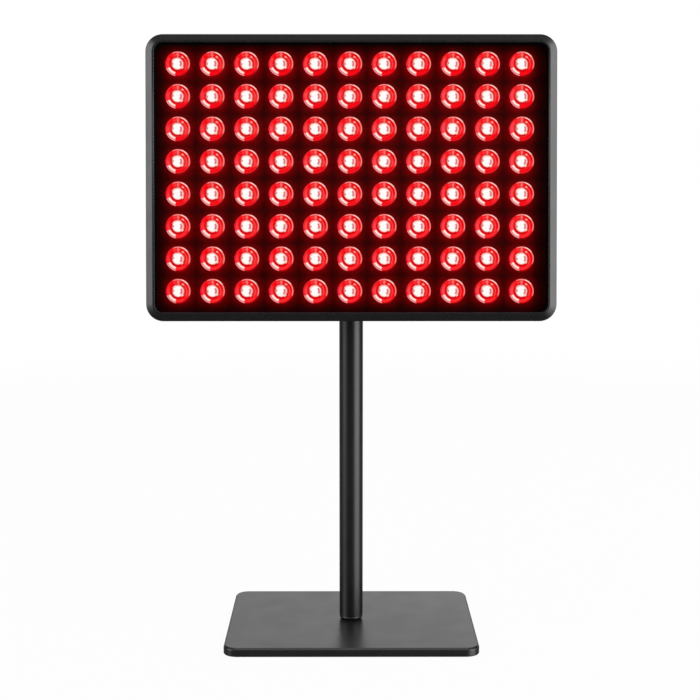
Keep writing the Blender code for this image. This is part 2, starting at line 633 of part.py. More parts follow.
def build_bracket(datum, axis):
    """The clevis on the panel's back, what clamps it from inside, and the pivot bolt."""
    plate_front = PANEL_DEPTH + GAP
    bracket = place(
        "tilt_bracket",
        rounded_box("tilt_bracket", BRACKET_WIDTH, BRACKET_HEIGHT, BRACKET_PLATE, 5 * MM, steps=3),
        BLACK_PAINT,
        at=(0.0, plate_front + BRACKET_PLATE / 2, HINGE_DROP),
        turn=TO_FRONT,
        parent=datum,
    )
    plate_rear = PANEL_TO_AXIS - GAP - BRACKET_PLATE
    root = -plate_rear - 1.5 * MM
    ear_round = 11 * MM
    ear = [(root, -16 * MM), *arc((0.0, 0.0), ear_round, -78, 78, 12), (root, 16 * MM)]
    for side in (-1, 1):
        x = side * (EAR_INNER + EAR_THICKNESS / 2)
        # The outline's local X runs back along +Y and its local Y runs up.
        fuse(
            bracket,
            extruded_mesh("ear", [ear], EAR_THICKNESS),
            at=(x, 0.0, 0.0),
            turn=(math.pi / 2, 0.0, math.pi / 2),
            parent=axis,
        )
    cut(bracket, cylinder_mesh("ear_bore", BOLT_RADIUS + BOLT_CLEARANCE, 40 * MM, axis="X"), parent=axis)
    places = [(x, PANEL_DEPTH + 2 * MM, z + HINGE_DROP) for x, z in BRACKET_SCREWS]
    cut(bracket, cylinder_mesh("bracket_holes", 2.3 * MM, 8 * MM, 12, places, "Y"), parent=datum)

    backing = place(
        "backing_plate",
        rounded_box("backing_plate", 56 * MM, 66 * MM, 2.5 * MM, 3 * MM, steps=2),
        STEEL,
        at=(0.0, COVER_INSIDE - GAP - 1.25 * MM, HINGE_DROP),
        turn=TO_FRONT,
        parent=datum,
    )
    places = [(x, COVER_INSIDE - 1 * MM, z + HINGE_DROP) for x, z in BRACKET_SCREWS]
    cut(backing, cylinder_mesh("backing_holes", 2.3 * MM, 8 * MM, 12, places, "Y"), parent=datum)

    head_low = PANEL_DEPTH + 2 * GAP + BRACKET_PLATE
    tip = 36.0 * MM - head_low
    screw_profile = [
        (0.0, 2.4 * MM),
        (2.6 * MM, 2.4 * MM),
        (3.5 * MM, 1.5 * MM),
        (3.5 * MM, 0.0),
        (2.0 * MM, 0.0),
        (2.0 * MM, tip),
        (0.0, tip),
    ]
    screw = turned("bracket_screw_pattern", screw_profile, sides=14)
    cut(screw, cylinder_mesh("bracket_screw_socket", 1.45 * MM, 3 * MM, sides=6), at=(0.0, 0.0, 2.4 * MM))
    screw = baked(screw)
    for i, (x, z) in enumerate(BRACKET_SCREWS):
        at = (x, head_low, z + HINGE_DROP)
        place(f"bracket_screw_{i + 1}", screw, BLACK_STEEL, at=at, turn=TO_REAR, parent=datum)

    washer = ring_profile(9 * MM, BOLT_RADIUS + BOLT_CLEARANCE, -0.4 * MM, 0.4 * MM)
    for side, x in (("left", -1), ("right", 1)):
        at = (x * (EYE_WIDTH / 2 + GAP + 0.4 * MM), 0.0, 0.0)
        turned(f"friction_washer_{side}", washer, STEEL, 24, True, at=at, turn=TO_RIGHT, parent=axis)

    ear_outer = EAR_INNER + EAR_THICKNESS
    head, tip = 5.5 * MM, 24.0 * MM
    bolt = place(
        "pivot_bolt",
        cylinder_mesh("pivot_bolt", BOLT_RADIUS, ear_outer + GAP + tip + 1 * MM, axis="X"),
        BLACK_STEEL,
        at=((tip - ear_outer - GAP - 1 * MM) / 2, 0.0, 0.0),
        parent=axis,
    )
    hexagon = cylinder_mesh("bolt_head", 7.5 * MM, head, sides=6, axis="X")
    fuse(bolt, hexagon, at=(-ear_outer - GAP - head / 2, 0.0, 0.0), parent=axis)


def build_knob(axis):
    """The lobed hand knob that clamps the tilt hinge, on the bolt's right end."""
    start, end = EAR_INNER + EAR_THICKNESS + 2 * GAP, 27.0 * MM
    hub_end = start + 3.0 * MM
    lobes, points = 6, 48
    outline = []
    for i in range(points):
        angle = 2 * math.pi * i / points
        radius = 13.4 * MM + 1.6 * MM * math.cos(lobes * angle)
        outline.append((radius * math.cos(angle), radius * math.sin(angle)))
    knob = place(
        "tilt_knob",
        smooth(extruded_mesh("tilt_knob", [outline], end - hub_end)),
        BLACK_PLASTIC,
        at=((hub_end + end) / 2, 0.0, 0.0),
        turn=TO_RIGHT,
        parent=axis,
    )
    hub = cylinder_mesh("knob_hub", 8 * MM, hub_end - start + 1 * MM, sides=20, axis="X")
    fuse(knob, hub, at=((start + hub_end + 1 * MM) / 2, 0.0, 0.0), parent=axis)
    bore = cylinder_mesh("knob_bore", BOLT_RADIUS + BOLT_CLEARANCE, 22 * MM, sides=16, axis="X")
    cut(knob, bore, at=(24.6 * MM - 11 * MM, 0.0, 0.0), parent=axis)


def build_fan(datum, side):
    """One cooling fan: its frame, fixed inside the cover, and its rotor."""
    x, z = FAN_PLACES[side]
    rear = COVER_INSIDE - GAP
    front = rear - FAN_THICKNESS
    frame = place(
        f"fan_frame_{side}",
        rounded_box("fan_frame", FAN_SIDE, FAN_SIDE, FAN_THICKNESS, 4 * MM, steps=3),
        BLACK_PLASTIC,
        at=(x, front + FAN_THICKNESS / 2, z),
        turn=TO_FRONT,
        parent=datum,
    )
    bm = bmesh.new()
    add_cone(bm, (FAN_DUCT, FAN_DUCT), 2 * FAN_THICKNESS, sides=32, axis="Y")
    for across in (-1, 1):
        for up in (-1, 1):
            centre = (across * 25 * MM, 0.0, up * 25 * MM)
            add_cone(bm, (1.9 * MM, 1.9 * MM), 2 * FAN_THICKNESS, centre, 8, "Y")
    cut(frame, mesh_from(bm, "fan_duct"), at=(x, rear - FAN_THICKNESS / 2, z), parent=datum)
    spoke = box_mesh("spoke", (FAN_DUCT * 2 + 2 * MM, 1.5 * MM, 4 * MM))
    for turn in (45, -45):
        at = (x, front + 0.75 * MM, z)
        fuse(frame, spoke, at=at, turn=(0.0, math.radians(turn), 0.0), parent=datum)
    seat = cylinder_mesh("motor_seat", 13.5 * MM, 1.3 * MM, sides=24, axis="Y")
    fuse(frame, seat, at=(x, front + 0.85 * MM, z), parent=datum)

    axis = pivot(f"fan_axis_{side}", (x, front, z), datum)
    hub_front, hub_rear = 1.9 * MM, FAN_THICKNESS - 0.6 * MM
    hub_profile = [
        (0.0, hub_rear),
        (11.5 * MM, hub_rear),
        (12.5 * MM, hub_rear - 1 * MM),
        (12.5 * MM, hub_front),
        (0.0, hub_front),
    ]
    rotor = turned(f"fan_rotor_{side}", hub_profile, BLACK_PLASTIC, 24, turn=TO_REAR, parent=axis)
    blades, inner, outer = 7, 11.5 * MM, 27.0 * MM
    pitch = Matrix.Rotation(math.radians(32), 4, "X")
    bm = bmesh.new()
    for i in range(blades):
        verts = add_box(bm, (outer - inner, 10.5 * MM, 1.0 * MM))
        stand = Matrix.Translation(((inner + outer) / 2, 0.0, (hub_front + hub_rear) / 2)) @ pitch
        around = Matrix.Rotation(2 * math.pi * i / blades, 4, "Z")
        bmesh.ops.transform(bm, matrix=around @ stand, verts=verts)
    fuse(rotor, mesh_from(bm, "blades"), turn=TO_REAR, parent=axis)

    inward = -math.copysign(1.0, x)
    start = x + inward * (FAN_SIDE / 2 + GAP)
    board_edge = -inward * (DRIVER_SIZE[0] / 2 + GAP)
    depth = DRIVER_FRONT + BOARD_THICKNESS / 2
    wire(
        f"fan_lead_{side}",
        [
            (start, depth + 3 * MM, z + 12 * MM),
            (start + inward * 4 * MM, depth + 3 * MM, z + 12 * MM),
            (board_edge - inward * 5 * MM, depth, z + 22 * MM),
            (board_edge, depth, z + 22 * MM),
        ],
        0.8 * MM,
        WIRE_SLEEVE,
        parent=datum,
    )


def build_driver(datum):
    """The current driver on its posts, and the leads to it."""
    x, z = DRIVER_PLACE
    place(
        "driver_board",
        box_mesh("driver_board", (DRIVER_SIZE[0], BOARD_THICKNESS, DRIVER_SIZE[1])),
        GREEN_BOARD,
        at=(x, DRIVER_FRONT + BOARD_THICKNESS / 2, z),
        parent=datum,
    )
    top = DRIVER_FRONT - GAP
    for name, radius, length, place_x, look in (
        ("driver_inductor", 9.0 * MM, 8.0 * MM, -24 * MM, COPPER),
        ("driver_capacitor_left", 5.0 * MM, 11.0 * MM, 4 * MM, ALUMINIUM),
        ("driver_capacitor_right", 5.0 * MM, 11.0 * MM, 18 * MM, ALUMINIUM),
    ):
        mesh = cylinder_mesh(name, radius, length, sides=16, axis="Y")
        place(name, mesh, look, at=(x + place_x, top - length / 2, z + 10 * MM), parent=datum)
    block = (24 * MM, 9 * MM, 9 * MM)
    block_at = (x + 12 * MM, top - block[1] / 2, z - 18 * MM)
    mesh = box_mesh("terminal_block", block)
    place("terminal_block", mesh, GREEN_BOARD, at=block_at, parent=datum)

    lead, low = 1.5 * MM, block_at[2] - block[2] / 2 - GAP
    inlet_x, inlet_z = INLET_PLACE
    switch_x, switch_z = SWITCH_PLACE
    wire(
        "inlet_lead",
        [
            (inlet_x, 28.7 * MM, inlet_z),
            (inlet_x, 21.5 * MM, inlet_z),
            (switch_x, 21.5 * MM, switch_z - 5 * MM),
            (switch_x, 28.7 * MM, switch_z - 5 * MM),
        ],
        lead,
        WIRE_SLEEVE,
        parent=datum,
    )
    wire(
        "switch_lead",
        [
            (switch_x, 28.7 * MM, switch_z + 5 * MM),
            (switch_x, 22.0 * MM, switch_z + 5 * MM),
            (46 * MM, 24.0 * MM, -62 * MM),
            (44 * MM, 27.0 * MM, -20 * MM),
            (36 * MM, 26.0 * MM, 14 * MM),
            (block_at[0] + 6 * MM, block_at[1], low - 8 * MM),
            (block_at[0] + 6 * MM, block_at[1], low),
        ],
        lead,
        WIRE_SLEEVE,
        parent=datum,
    )
    wire(
        "led_lead",
        [
            (block_at[0] - 6 * MM, block_at[1], low),
            (block_at[0] - 6 * MM, block_at[1], low - 7 * MM),
            (0.0, 24.0 * MM, 4 * MM),
            (0.0, BOARD_FRONT + BOARD_THICKNESS + GAP, 4 * MM),
        ],
        lead,
        WIRE_SLEEVE,
        parent=datum,
    )


def build_inlet(datum):
    """The low-voltage inlet and the nut that holds it in the cover."""
    x, z = INLET_PLACE
    flange_top, flange_low, end, floor = 1.8 * MM, GAP, -13.0 * MM, -8.5 * MM
    profile = [
        (0.0, 0.6 * MM),
        (0.9 * MM, 0.2 * MM),
        (0.9 * MM, floor),
        (2.9 * MM, floor),
        (2.9 * MM, flange_top),
        (6.2 * MM, flange_top),
        (6.8 * MM, flange_top - 0.6 * MM),
        (6.8 * MM, flange_low),
        (4.9 * MM, flange_low),
        (4.9 * MM, end),
        (0.0, end),
    ]
    turned("power_inlet", profile, BLACK_PLASTIC, 16, at=(x, PANEL_DEPTH, z), turn=TO_REAR, parent=datum)
    depth = COVER_INSIDE - GAP - 1.3 * MM
    nut = place(
        "inlet_nut",
        cylinder_mesh("inlet_nut", 8.0 * MM, 2.6 * MM, sides=6, axis="Y"),
        STEEL,
        at=(x, depth, z),
        parent=datum,
    )
    thread = cylinder_mesh("nut_thread", 5.3 * MM, 6 * MM, sides=16, axis="Y")
    cut(nut, thread, at=(x, depth, z), parent=datum)


def build_switch(datum):
    """The power switch: its snap-in housing and its rocker, which rests in the on position."""
    x, z = SWITCH_PLACE
    flange = 2.0 * MM
    flange_centre = PANEL_DEPTH + GAP + flange / 2
    housing = place(
        "switch_housing",
        rounded_box("switch_housing", 15.4 * MM, 21.4 * MM, flange, 1.2 * MM, steps=2),
        BLACK_PLASTIC,
        at=(x, flange_centre, z),
        turn=TO_FRONT,
        parent=datum,
    )
    front, rear = 29.0 * MM, flange_centre
    body = box_mesh("switch_body", (12.4 * MM, rear - front, 18.4 * MM))
    fuse(housing, body, at=(x, (front + rear) / 2, z), parent=datum)
    well = box_mesh("switch_well", (10.4 * MM, 10.0 * MM, 16.0 * MM))
    cut(housing, well, at=(x, 41.6 * MM, z), parent=datum)

    axis = pivot("rocker_axis", (x, SWITCH_PIVOT, z), datum)
    half, crest, dip, low = 7.2 * MM, 2.6 * MM, 1.2 * MM, -2.2 * MM
    outline = [(-half, crest), (-half + 0.8 * MM, low), (half - 0.8 * MM, low), (half, crest), (0.0, dip)]
    # The outline's local X runs down the cover and its local Y runs back, before the rocker tilts.
    tilted = Matrix.Rotation(math.pi / 2, 3, "Y") @ Matrix.Rotation(ROCKER_TILT, 3, "Z")
    rocker = extruded_mesh("switch_rocker", [outline], 9.8 * MM)
    place("switch_rocker", rocker, BLACK_PLASTIC, turn=tilted.to_euler(), parent=axis)


def main():
    """Builds the stand, then the panel on its tilt axis."""
    build_base()
    build_pole()
    tilt_axis = pivot("tilt_axis", (0.0, 0.0, HINGE_HEIGHT), turn=(-REST_LEAN, 0.0, 0.0))
    datum = pivot("panel_datum", (0.0, -PANEL_TO_AXIS - PANEL_DEPTH, -HINGE_DROP), tilt_axis)
    build_bezel(datum)
    build_light_field(datum)
    build_rear_cover(datum)
    build_bracket(datum, tilt_axis)
    build_knob(pivot("knob_axis", (0.0, 0.0, 0.0), tilt_axis))
    for side in FAN_PLACES:
        build_fan(datum, side)
    build_driver(datum)
    build_inlet(datum)
    build_switch(datum)


main()
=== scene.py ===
"""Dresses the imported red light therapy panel: fine pieces, their finishes, studio light and the camera.

Lengths are metres. The panel's pieces are modelled in the panel's own axes: x to the viewer's right,
y back from the bezel's front plane and z up from the panel's centre. The hinge's pieces are modelled
round the tilt axis, and the stand's pieces in the frame's axes.
"""

import json
import logging
import math
from collections.abc import Callable, Iterable, Sequence
from dataclasses import dataclass
from enum import Enum
from functools import reduce

import bmesh
import bpy
from mathutils import Matrix, Vector


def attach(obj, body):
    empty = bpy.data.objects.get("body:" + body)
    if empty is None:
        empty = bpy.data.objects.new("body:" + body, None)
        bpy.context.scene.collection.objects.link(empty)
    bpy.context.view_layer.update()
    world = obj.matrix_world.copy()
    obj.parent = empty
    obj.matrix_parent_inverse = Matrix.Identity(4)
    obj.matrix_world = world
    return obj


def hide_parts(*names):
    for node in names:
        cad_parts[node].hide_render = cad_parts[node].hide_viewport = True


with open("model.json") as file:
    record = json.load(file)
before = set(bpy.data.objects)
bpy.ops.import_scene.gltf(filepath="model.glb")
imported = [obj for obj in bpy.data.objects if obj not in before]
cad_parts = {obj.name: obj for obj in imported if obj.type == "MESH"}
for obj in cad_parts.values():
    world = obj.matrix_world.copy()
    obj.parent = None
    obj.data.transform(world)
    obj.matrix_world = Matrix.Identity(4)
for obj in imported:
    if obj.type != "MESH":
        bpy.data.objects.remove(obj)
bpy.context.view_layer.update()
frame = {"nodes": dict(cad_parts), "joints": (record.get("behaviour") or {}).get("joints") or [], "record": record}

LOG = logging.getLogger("panel_scene")
MM = 0.001
Pair = tuple[float, float]
Triple = tuple[float, float, float]
Colour = tuple[float, float, float]
Outline = Callable[[float], list[Pair]]
Socket = bpy.types.NodeSocket
Node = bpy.types.Node

REST_LEAN = math.radians(6.0)
GAP = 0.3 * MM
PANEL_WIDTH = 310.0 * MM
PANEL_HEIGHT = 216.0 * MM
PANEL_CORNER = 13.0 * MM
PANEL_DEPTH = 42.0 * MM
SKIRT_WALL = 2.2 * MM
HINGE_DROP = -40.0 * MM
PANEL_TO_AXIS = 23.5 * MM
COLUMNS, ROWS = 11, 8
COLUMN_PITCH, ROW_PITCH = 26.0 * MM, 24.5 * MM
GRID_MIDDLE = (-1.2 * MM, 0.5 * MM)
LENS_RADIUS = 9.5 * MM
LENS_RIM_DEPTH = 6.4 * MM
LEDGE_DEPTH = 13.7 * MM
POLE_RADIUS = 9.5 * MM
BOLT_RADIUS = 4.0 * MM
CLEARANCE = 0.35 * MM
BOLT_HOLE = BOLT_RADIUS + CLEARANCE
PAST = 1.0 * MM

ORIGIN = (0.0, 0.0, 0.0)
BACKWARD = Vector((0.0, 1.0, 0.0))
HINGE = Vector(next(joint["pos_m"] for joint in frame["joints"] if joint["name"] == "panel_tilt"))
HINGE_AXES = Matrix.Translation(HINGE) @ Matrix.Rotation(-REST_LEAN, 4, "X")
PANEL_AXES = HINGE_AXES @ Matrix.Translation((0.0, -PANEL_TO_AXIS - PANEL_DEPTH, -HINGE_DROP))


class Body(str, Enum):
    """The bodies that a piece may ride on."""

    STAND = "stand"
    PANEL = "panel"
    KNOB = "knob"
    FAN_LEFT = "fan_left"
    FAN_RIGHT = "fan_right"
    ROCKER = "rocker"


class Run(Enum):
    """The way that an outline is carried: up Z, back along Y or across along X."""

    UP = 0
    BACK = 1
    ACROSS = 2

    def point(self, a: float, b: float, along: float) -> Vector:
        """The point of an outline's (a, b) at a place along the run."""
        places = {Run.UP: (a, b, along), Run.BACK: (a, along, b), Run.ACROSS: (along, a, b)}
        return Vector(places[self])


# Finishes


def linear(red: int, green: int, blue: int) -> Colour:
    """The linear colour of an sRGB one.

    Args:
        red: its red channel, from 0 to 255.
        green: its green channel.
        blue: its blue channel.

    Returns:
        The colour, with channels from 0 to 1.
    """

    def channel(value: float) -> float:
        """One channel, from 0 to 1."""
        return value / 12.92 if value <= 0.04045 else ((value + 0.055) / 1.055) ** 2.4

    return channel(red / 255), channel(green / 255), channel(blue / 255)


def opaque(colour: Colour, level: float = 1.0) -> tuple[float, float, float, float]:
    """A colour at a level of brightness, as a socket takes it."""
    return colour[0] * level, colour[1] * level, colour[2] * level, 1.0


class Wiring:
    """Adds and joins the nodes of one material or world."""

    def __init__(self, tree: bpy.types.NodeTree) -> None:
        """Starts with the tree to work in."""
        self.tree = tree

    def add(self, kind: str, **settings: object) -> Node:
        """Adds a shader node.

        Args:
            kind: the node's type, without its ShaderNode prefix.
            settings: the node's own properties.

        Returns:
            The node.
        """
        node = self.tree.nodes.new(f"ShaderNode{kind}")
        for name, value in settings.items():
            setattr(node, name, value)
        return node

    def feed(self, socket: Socket, value: object) -> None:
        """Sets an input to a value, or joins an output to it.

        Args:
            socket: the input.
            value: the value or the output.
        """
        if isinstance(value, Socket):
            self.tree.links.new(value, socket)
        else:
            socket.default_value = value

    def math(self, operation: str, *values: object) -> Socket:
        """Adds a Math node.

        Args:
            operation: what it does.
            values: its one to three values.

        Returns:
            Its result.
        """
        node = self.add("Math", operation=operation)
        for socket, value in zip(node.inputs, values):
            self.feed(socket, value)
        return node.outputs[0]

    def times(self, *values: object) -> Socket:
        """The product of two or more values."""
        return reduce(lambda first, second: self.math("MULTIPLY", first, second), values)

    def most(self, *values: object) -> Socket:
        """The largest of two or more values."""
        return reduce(lambda first, second: self.math("MAXIMUM", first, second), values)

    def off(self, value: object, middle: float) -> Socket:
        """How far a value is from a middle, either way."""
        return self.math("ABSOLUTE", self.math("SUBTRACT", value, middle))

    def axes(self, place: Socket) -> tuple[Socket, Socket, Socket]:
        """Splits a place.

        Args:
            place: the place.

        Returns:
            Its X, Y and Z.
        """
        split = self.add("SeparateXYZ")
        self.feed(split.inputs[0], place)
        return tuple(split.outputs)

    def span(self, value: object, start: float, end: float, low: object, high: object) -> Socket:
        """A smooth step from low to high as the value goes from start to end.

        Args:
            value: the value to read.
            start: where the step begins.
            end: where the step ends, above start.
            low: the result up to start.
            high: the result from end on.

        Returns:
            The stepped value.
        """
        node = self.add("MapRange", interpolation_type="SMOOTHSTEP")
        for socket, given in zip(node.inputs, (value, start, end, low, high)):
            self.feed(socket, given)
        return node.outputs[0]

    def mix(self, share: object, first: object, second: object) -> Socket:
        """Blends two colours.

        Args:
            share: how much of the second there is, from 0 to 1.
            first: the first colour.
            second: the second colour.

        Returns:
            The blend.
        """
        node = self.add("Mix", data_type="RGBA")
        for index, value in ((0, share), (6, first), (7, second)):
            self.feed(node.inputs[index], value)
        return node.outputs[2]

    def noise(self, vector: Socket, size: float, detail: float = 2.0) -> Socket:
        """Adds noise from 0 to 1.

        Args:
            vector: the place to read it at.
            size: about how wide its blotches are.
            detail: how many finer layers it has.

        Returns:
            The noise.
        """
        node = self.add("TexNoise")
        self.feed(node.inputs["Vector"], vector)
        node.inputs["Scale"].default_value = 1.0 / size
        node.inputs["Detail"].default_value = detail
        return node.outputs[0]

    def ramp(self, value: Socket, stops: Iterable[tuple[float, Colour]]) -> Socket:
        """Colours a value.

        Args:
            value: the value, from 0 to 1.
            stops: (value, colour) pairs in rising order.

        Returns:
            The colour.
        """
        node = self.add("ValToRGB")
        self.feed(node.inputs[0], value)
        elements = node.color_ramp.elements
        elements.remove(elements[1])
        for i, (place, colour) in enumerate(stops):
            element = elements[0] if i == 0 else elements.new(place)
            element.position = place
            element.color = opaque(colour)
        return node.outputs[0]

    def bump(self, height: Socket, depth: float, strength: float) -> Socket:
        """Adds a fine relief.

        Args:
            height: the relief, from 0 to 1.
            depth: how high 1 is, in metres.
            strength: how much of it shows.

        Returns:
            The surface's normal.
        """
        node = self.add("Bump")
        node.inputs["Strength"].default_value = strength
        node.inputs["Distance"].default_value = depth
        self.feed(node.inputs["Height"], height)
        return node.outputs[0]

    def here(self) -> Socket:
        """The place on the piece, in metres in its own axes."""
        return self.add("TexCoord").outputs["Object"]


@dataclass(frozen=True)
class Finish:
    """The look of one kind of surface.

    Attributes:
        name: the material's name.
        slot: the record's slot that it belongs to. It is not used.
        colour: the linear base colour.
        roughness: the mean roughness.
        metallic: 1 for bare metal.
        grain: the width of the fine relief's blotches.
        relief: the height of the fine relief.
        specular: the level of the clear reflection, where 0.5 is that of plain plastic.
    """

    name: str
    slot: str
    colour: Colour
    roughness: float
    metallic: float = 0.0
    grain: float = 0.5 * MM
    relief: float = 0.01 * MM
    specular: float = 0.5

    def material(self) -> bpy.types.Material:
        """Makes the material, or finds it again.

        Returns:
            The material.
        """
        found = bpy.data.materials.get(self.name)
        if found is None:
            found = bpy.data.materials.new(self.name)
            found.use_nodes = True
            shader = found.node_tree.nodes["Principled BSDF"]
            shader.inputs["Metallic"].default_value = self.metallic
            shader.inputs["Specular IOR Level"].default_value = self.specular
            self.dress(Wiring(found.node_tree), shader)
        return found

    def mottle(
        self, nodes: Wiring, shader: Node, share: object, colour_spread: float, rough_spread: float
    ) -> None:
        """Varies the colour and the roughness by a share from 0 to 1.

        Args:
            nodes: the material's nodes.
            shader: the Principled node.
            share: what the two follow.
            colour_spread: how far the colour goes, as a share of itself.
            rough_spread: how far the roughness goes either way.
        """
        dark, light = opaque(self.colour, 1 - colour_spread), opaque(self.colour, 1 + colour_spread)
        nodes.feed(shader.inputs["Base Color"], nodes.mix(share, dark, light))
        low, high = self.roughness - rough_spread, self.roughness + rough_spread
        nodes.feed(shader.inputs["Roughness"], nodes.span(share, 0.25, 0.75, low, high))

    def dress(self, nodes: Wiring, shader: Node) -> None:
        """Adds the nodes of a plain moulded or painted surface.

        Args:
            nodes: the material's nodes.
            shader: its Principled node.
        """
        here = nodes.here()
        fine, broad = nodes.noise(here, self.grain), nodes.noise(here, 40 * self.grain, 4.0)
        self.mottle(nodes, shader, broad, 0.12, 0.03)
        nodes.feed(shader.inputs["Normal"], nodes.bump(fine, self.relief, 0.35))


class PowderCoat(Finish):
    """Satin powder coat: a fine orange peel with tiny pits."""

    def dress(self, nodes: Wiring, shader: Node) -> None:
        """Adds the coat's nodes.

        Args:
            nodes: the material's nodes.
            shader: its Principled node.
        """
        here = nodes.here()
        peel, pits = nodes.noise(here, 3 * self.grain), nodes.noise(here, self.grain)
        self.mottle(nodes, shader, nodes.noise(here, 25 * MM, 3.0), 0.10, 0.025)
        height = nodes.math("MULTIPLY_ADD", peel, 0.6, nodes.times(pits, 0.4))
        nodes.feed(shader.inputs["Normal"], nodes.bump(height, self.relief, 0.3))


class SparkPlastic(Finish):
    """Moulded plastic with the fine pebbled grain of a spark-eroded tool."""

    def dress(self, nodes: Wiring, shader: Node) -> None:
        """Adds the plastic's nodes.

        Args:
            nodes: the material's nodes.
            shader: its Principled node.
        """
        here = nodes.here()
        pebbles = nodes.add("TexVoronoi", feature="SMOOTH_F1")
        nodes.feed(pebbles.inputs["Vector"], here)
        pebbles.inputs["Scale"].default_value = 1.0 / self.grain
        self.mottle(nodes, shader, nodes.noise(here, 18 * MM, 3.0), 0.12, 0.03)
        nodes.feed(shader.inputs["Normal"], nodes.bump(pebbles.outputs["Distance"], self.relief, 0.25))


class TurnedMetal(Finish):
    """Bare or blackened metal with fine turning marks and a little tarnish."""

    def dress(self, nodes: Wiring, shader: Node) -> None:
        """Adds the metal's nodes.

        Args:
            nodes: the material's nodes.
            shader: its Principled node.
        """
        here = nodes.here()
        stretch = nodes.add("Mapping")
        nodes.feed(stretch.inputs["Vector"], here)
        stretch.inputs["Scale"].default_value = (1.0, 0.12, 1.0)
        marks = nodes.noise(stretch.outputs[0], self.grain, 3.0)
        self.mottle(nodes, shader, nodes.noise(here, 6 * MM, 4.0), 0.10, 0.06)
        nodes.feed(shader.inputs["Normal"], nodes.bump(marks, self.relief, 0.3))


class CopperWinding(Finish):
    """Enamelled wire wound round a core."""

    def dress(self, nodes: Wiring, shader: Node) -> None:
        """Adds the turns of the wire.

        Args:
            nodes: the material's nodes.
            shader: its Principled node.
        """
        turns = nodes.add("TexWave", bands_direction="Y", wave_profile="SIN")
        nodes.feed(turns.inputs["Vector"], nodes.here())
        turns.inputs["Scale"].default_value = 0.32 / self.grain
        turns.inputs["Distortion"].default_value = 0.6
        self.mottle(nodes, shader, turns.outputs["Fac"], 0.3, 0.08)
        nodes.feed(shader.inputs["Normal"], nodes.bump(turns.outputs["Fac"], self.relief, 1.0))


@dataclass(frozen=True)
class Glint:
    """A bright or dark mark inside a lens, in the lens's own polar places; some of them are painted reflections of
    the studio lamps.

    Attributes:
        colour: the mark's colour.
        radius: its place as a share of the lens's radius.
        half: half its thickness.
        blur: the width of its soft edge.
        angle: its middle, in degrees anticlockwise from the right, seen from the front.
        spread: half its length in degrees.
        fade: the length of its soft ends in degrees.
        strength: how much of it shows, up to 1.
    """

    colour: Colour
    radius: float
    half: float
    blur: float
    angle: float
    spread: float
    fade: float
    strength: float = 1.0


LENS_STOPS = (
    (0.00, linear(253, 252, 248)),
    (0.36, linear(252, 250, 246)),
    (0.42, linear(248, 205, 198)),
    (0.475, linear(222, 12, 20)),
    (0.55, linear(208, 0, 6)),
    (0.63, linear(242, 0, 8)),
    (0.80, linear(250, 0, 12)),
    (0.89, linear(232, 0, 14)),
    (0.95, linear(182, 0, 8)),
    (1.00, linear(116, 0, 4)),
)
# Marks inside each lens. Among them, the pale rim arcs from 36 to 94 degrees and the pale crescent round 230
# degrees are painted reflections of the studio lamps.
LENS_MARKS_AND_PAINTED_REFLECTIONS = (
    Glint(linear(236, 14, 54), 0.94, 0.03, 0.06, 188, 18, 14, 0.7),
    Glint(linear(242, 36, 44), 0.92, 0.02, 0.05, 122, 26, 16, 0.6),
    Glint(linear(196, 4, 12), 0.81, 0.02, 0.04, 46, 40, 12, 0.8),
    Glint(linear(250, 132, 126), 0.93, 0.018, 0.045, 36, 50, 16),
    Glint(linear(255, 214, 204), 0.94, 0.02, 0.04, 55, 13, 12),
    Glint(linear(250, 146, 142), 0.93, 0.015, 0.045, 94, 14, 12, 0.9),
    Glint(linear(250, 88, 80), 0.665, 0.012, 0.045, 4, 32, 14, 0.75),
    Glint(linear(255, 180, 160), 0.665, 0.035, 0.04, 55, 4, 7, 0.9),
    Glint(linear(240, 80, 80), 0.72, 0.07, 0.06, 98, 16, 12, 0.4),
    Glint(linear(250, 150, 142), 0.70, 0.13, 0.05, 89, 2, 6, 0.55),
    Glint(linear(200, 2, 12), 0.53, 0.045, 0.04, 215, 70, 25, 0.8),
    Glint(linear(248, 176, 170), 0.47, 0.02, 0.05, 92, 24, 18, 0.7),
    Glint(linear(238, 50, 56), 0.69, 0.04, 0.06, 192, 9, 11, 0.35),
    Glint(linear(252, 226, 218), 0.76, 0.065, 0.05, 229, 22, 7),
    Glint(linear(206, 104, 112), 0.865, 0.012, 0.03, 230, 21, 8, 0.9),
    Glint(linear(248, 160, 160), 0.935, 0.015, 0.035, 230, 25, 7),
    Glint(linear(214, 84, 98), 0.29, 0.05, 0.07, -3, 34, 24, 0.9),
    Glint(linear(214, 120, 126), 0.375, 0.04, 0.05, 177, 10, 10, 0.95),
    Glint(linear(249, 206, 196), 0.47, 0.035, 0.045, 133, 11, 12, 0.8),
    Glint(linear(249, 206, 188), 0.48, 0.035, 0.035, -42, 8, 7, 0.95),
    Glint(linear(186, 10, 16), 0.57, 0.015, 0.03, -37, 8, 6, 0.7),
)
# The red glow of the lenses' light, painted on the board and the rails round each lens.
BOARD_PAINTED_GLOW_STOPS = (
    (0.40, linear(124, 2, 5)),
    (0.44, linear(99, 0, 2)),
    (0.50, linear(90, 0, 1)),
    (0.58, linear(70, 0, 0)),
    (0.66, linear(56, 0, 0)),
    (0.76, linear(46, 0, 0)),
    (0.88, linear(24, 0, 0)),
)


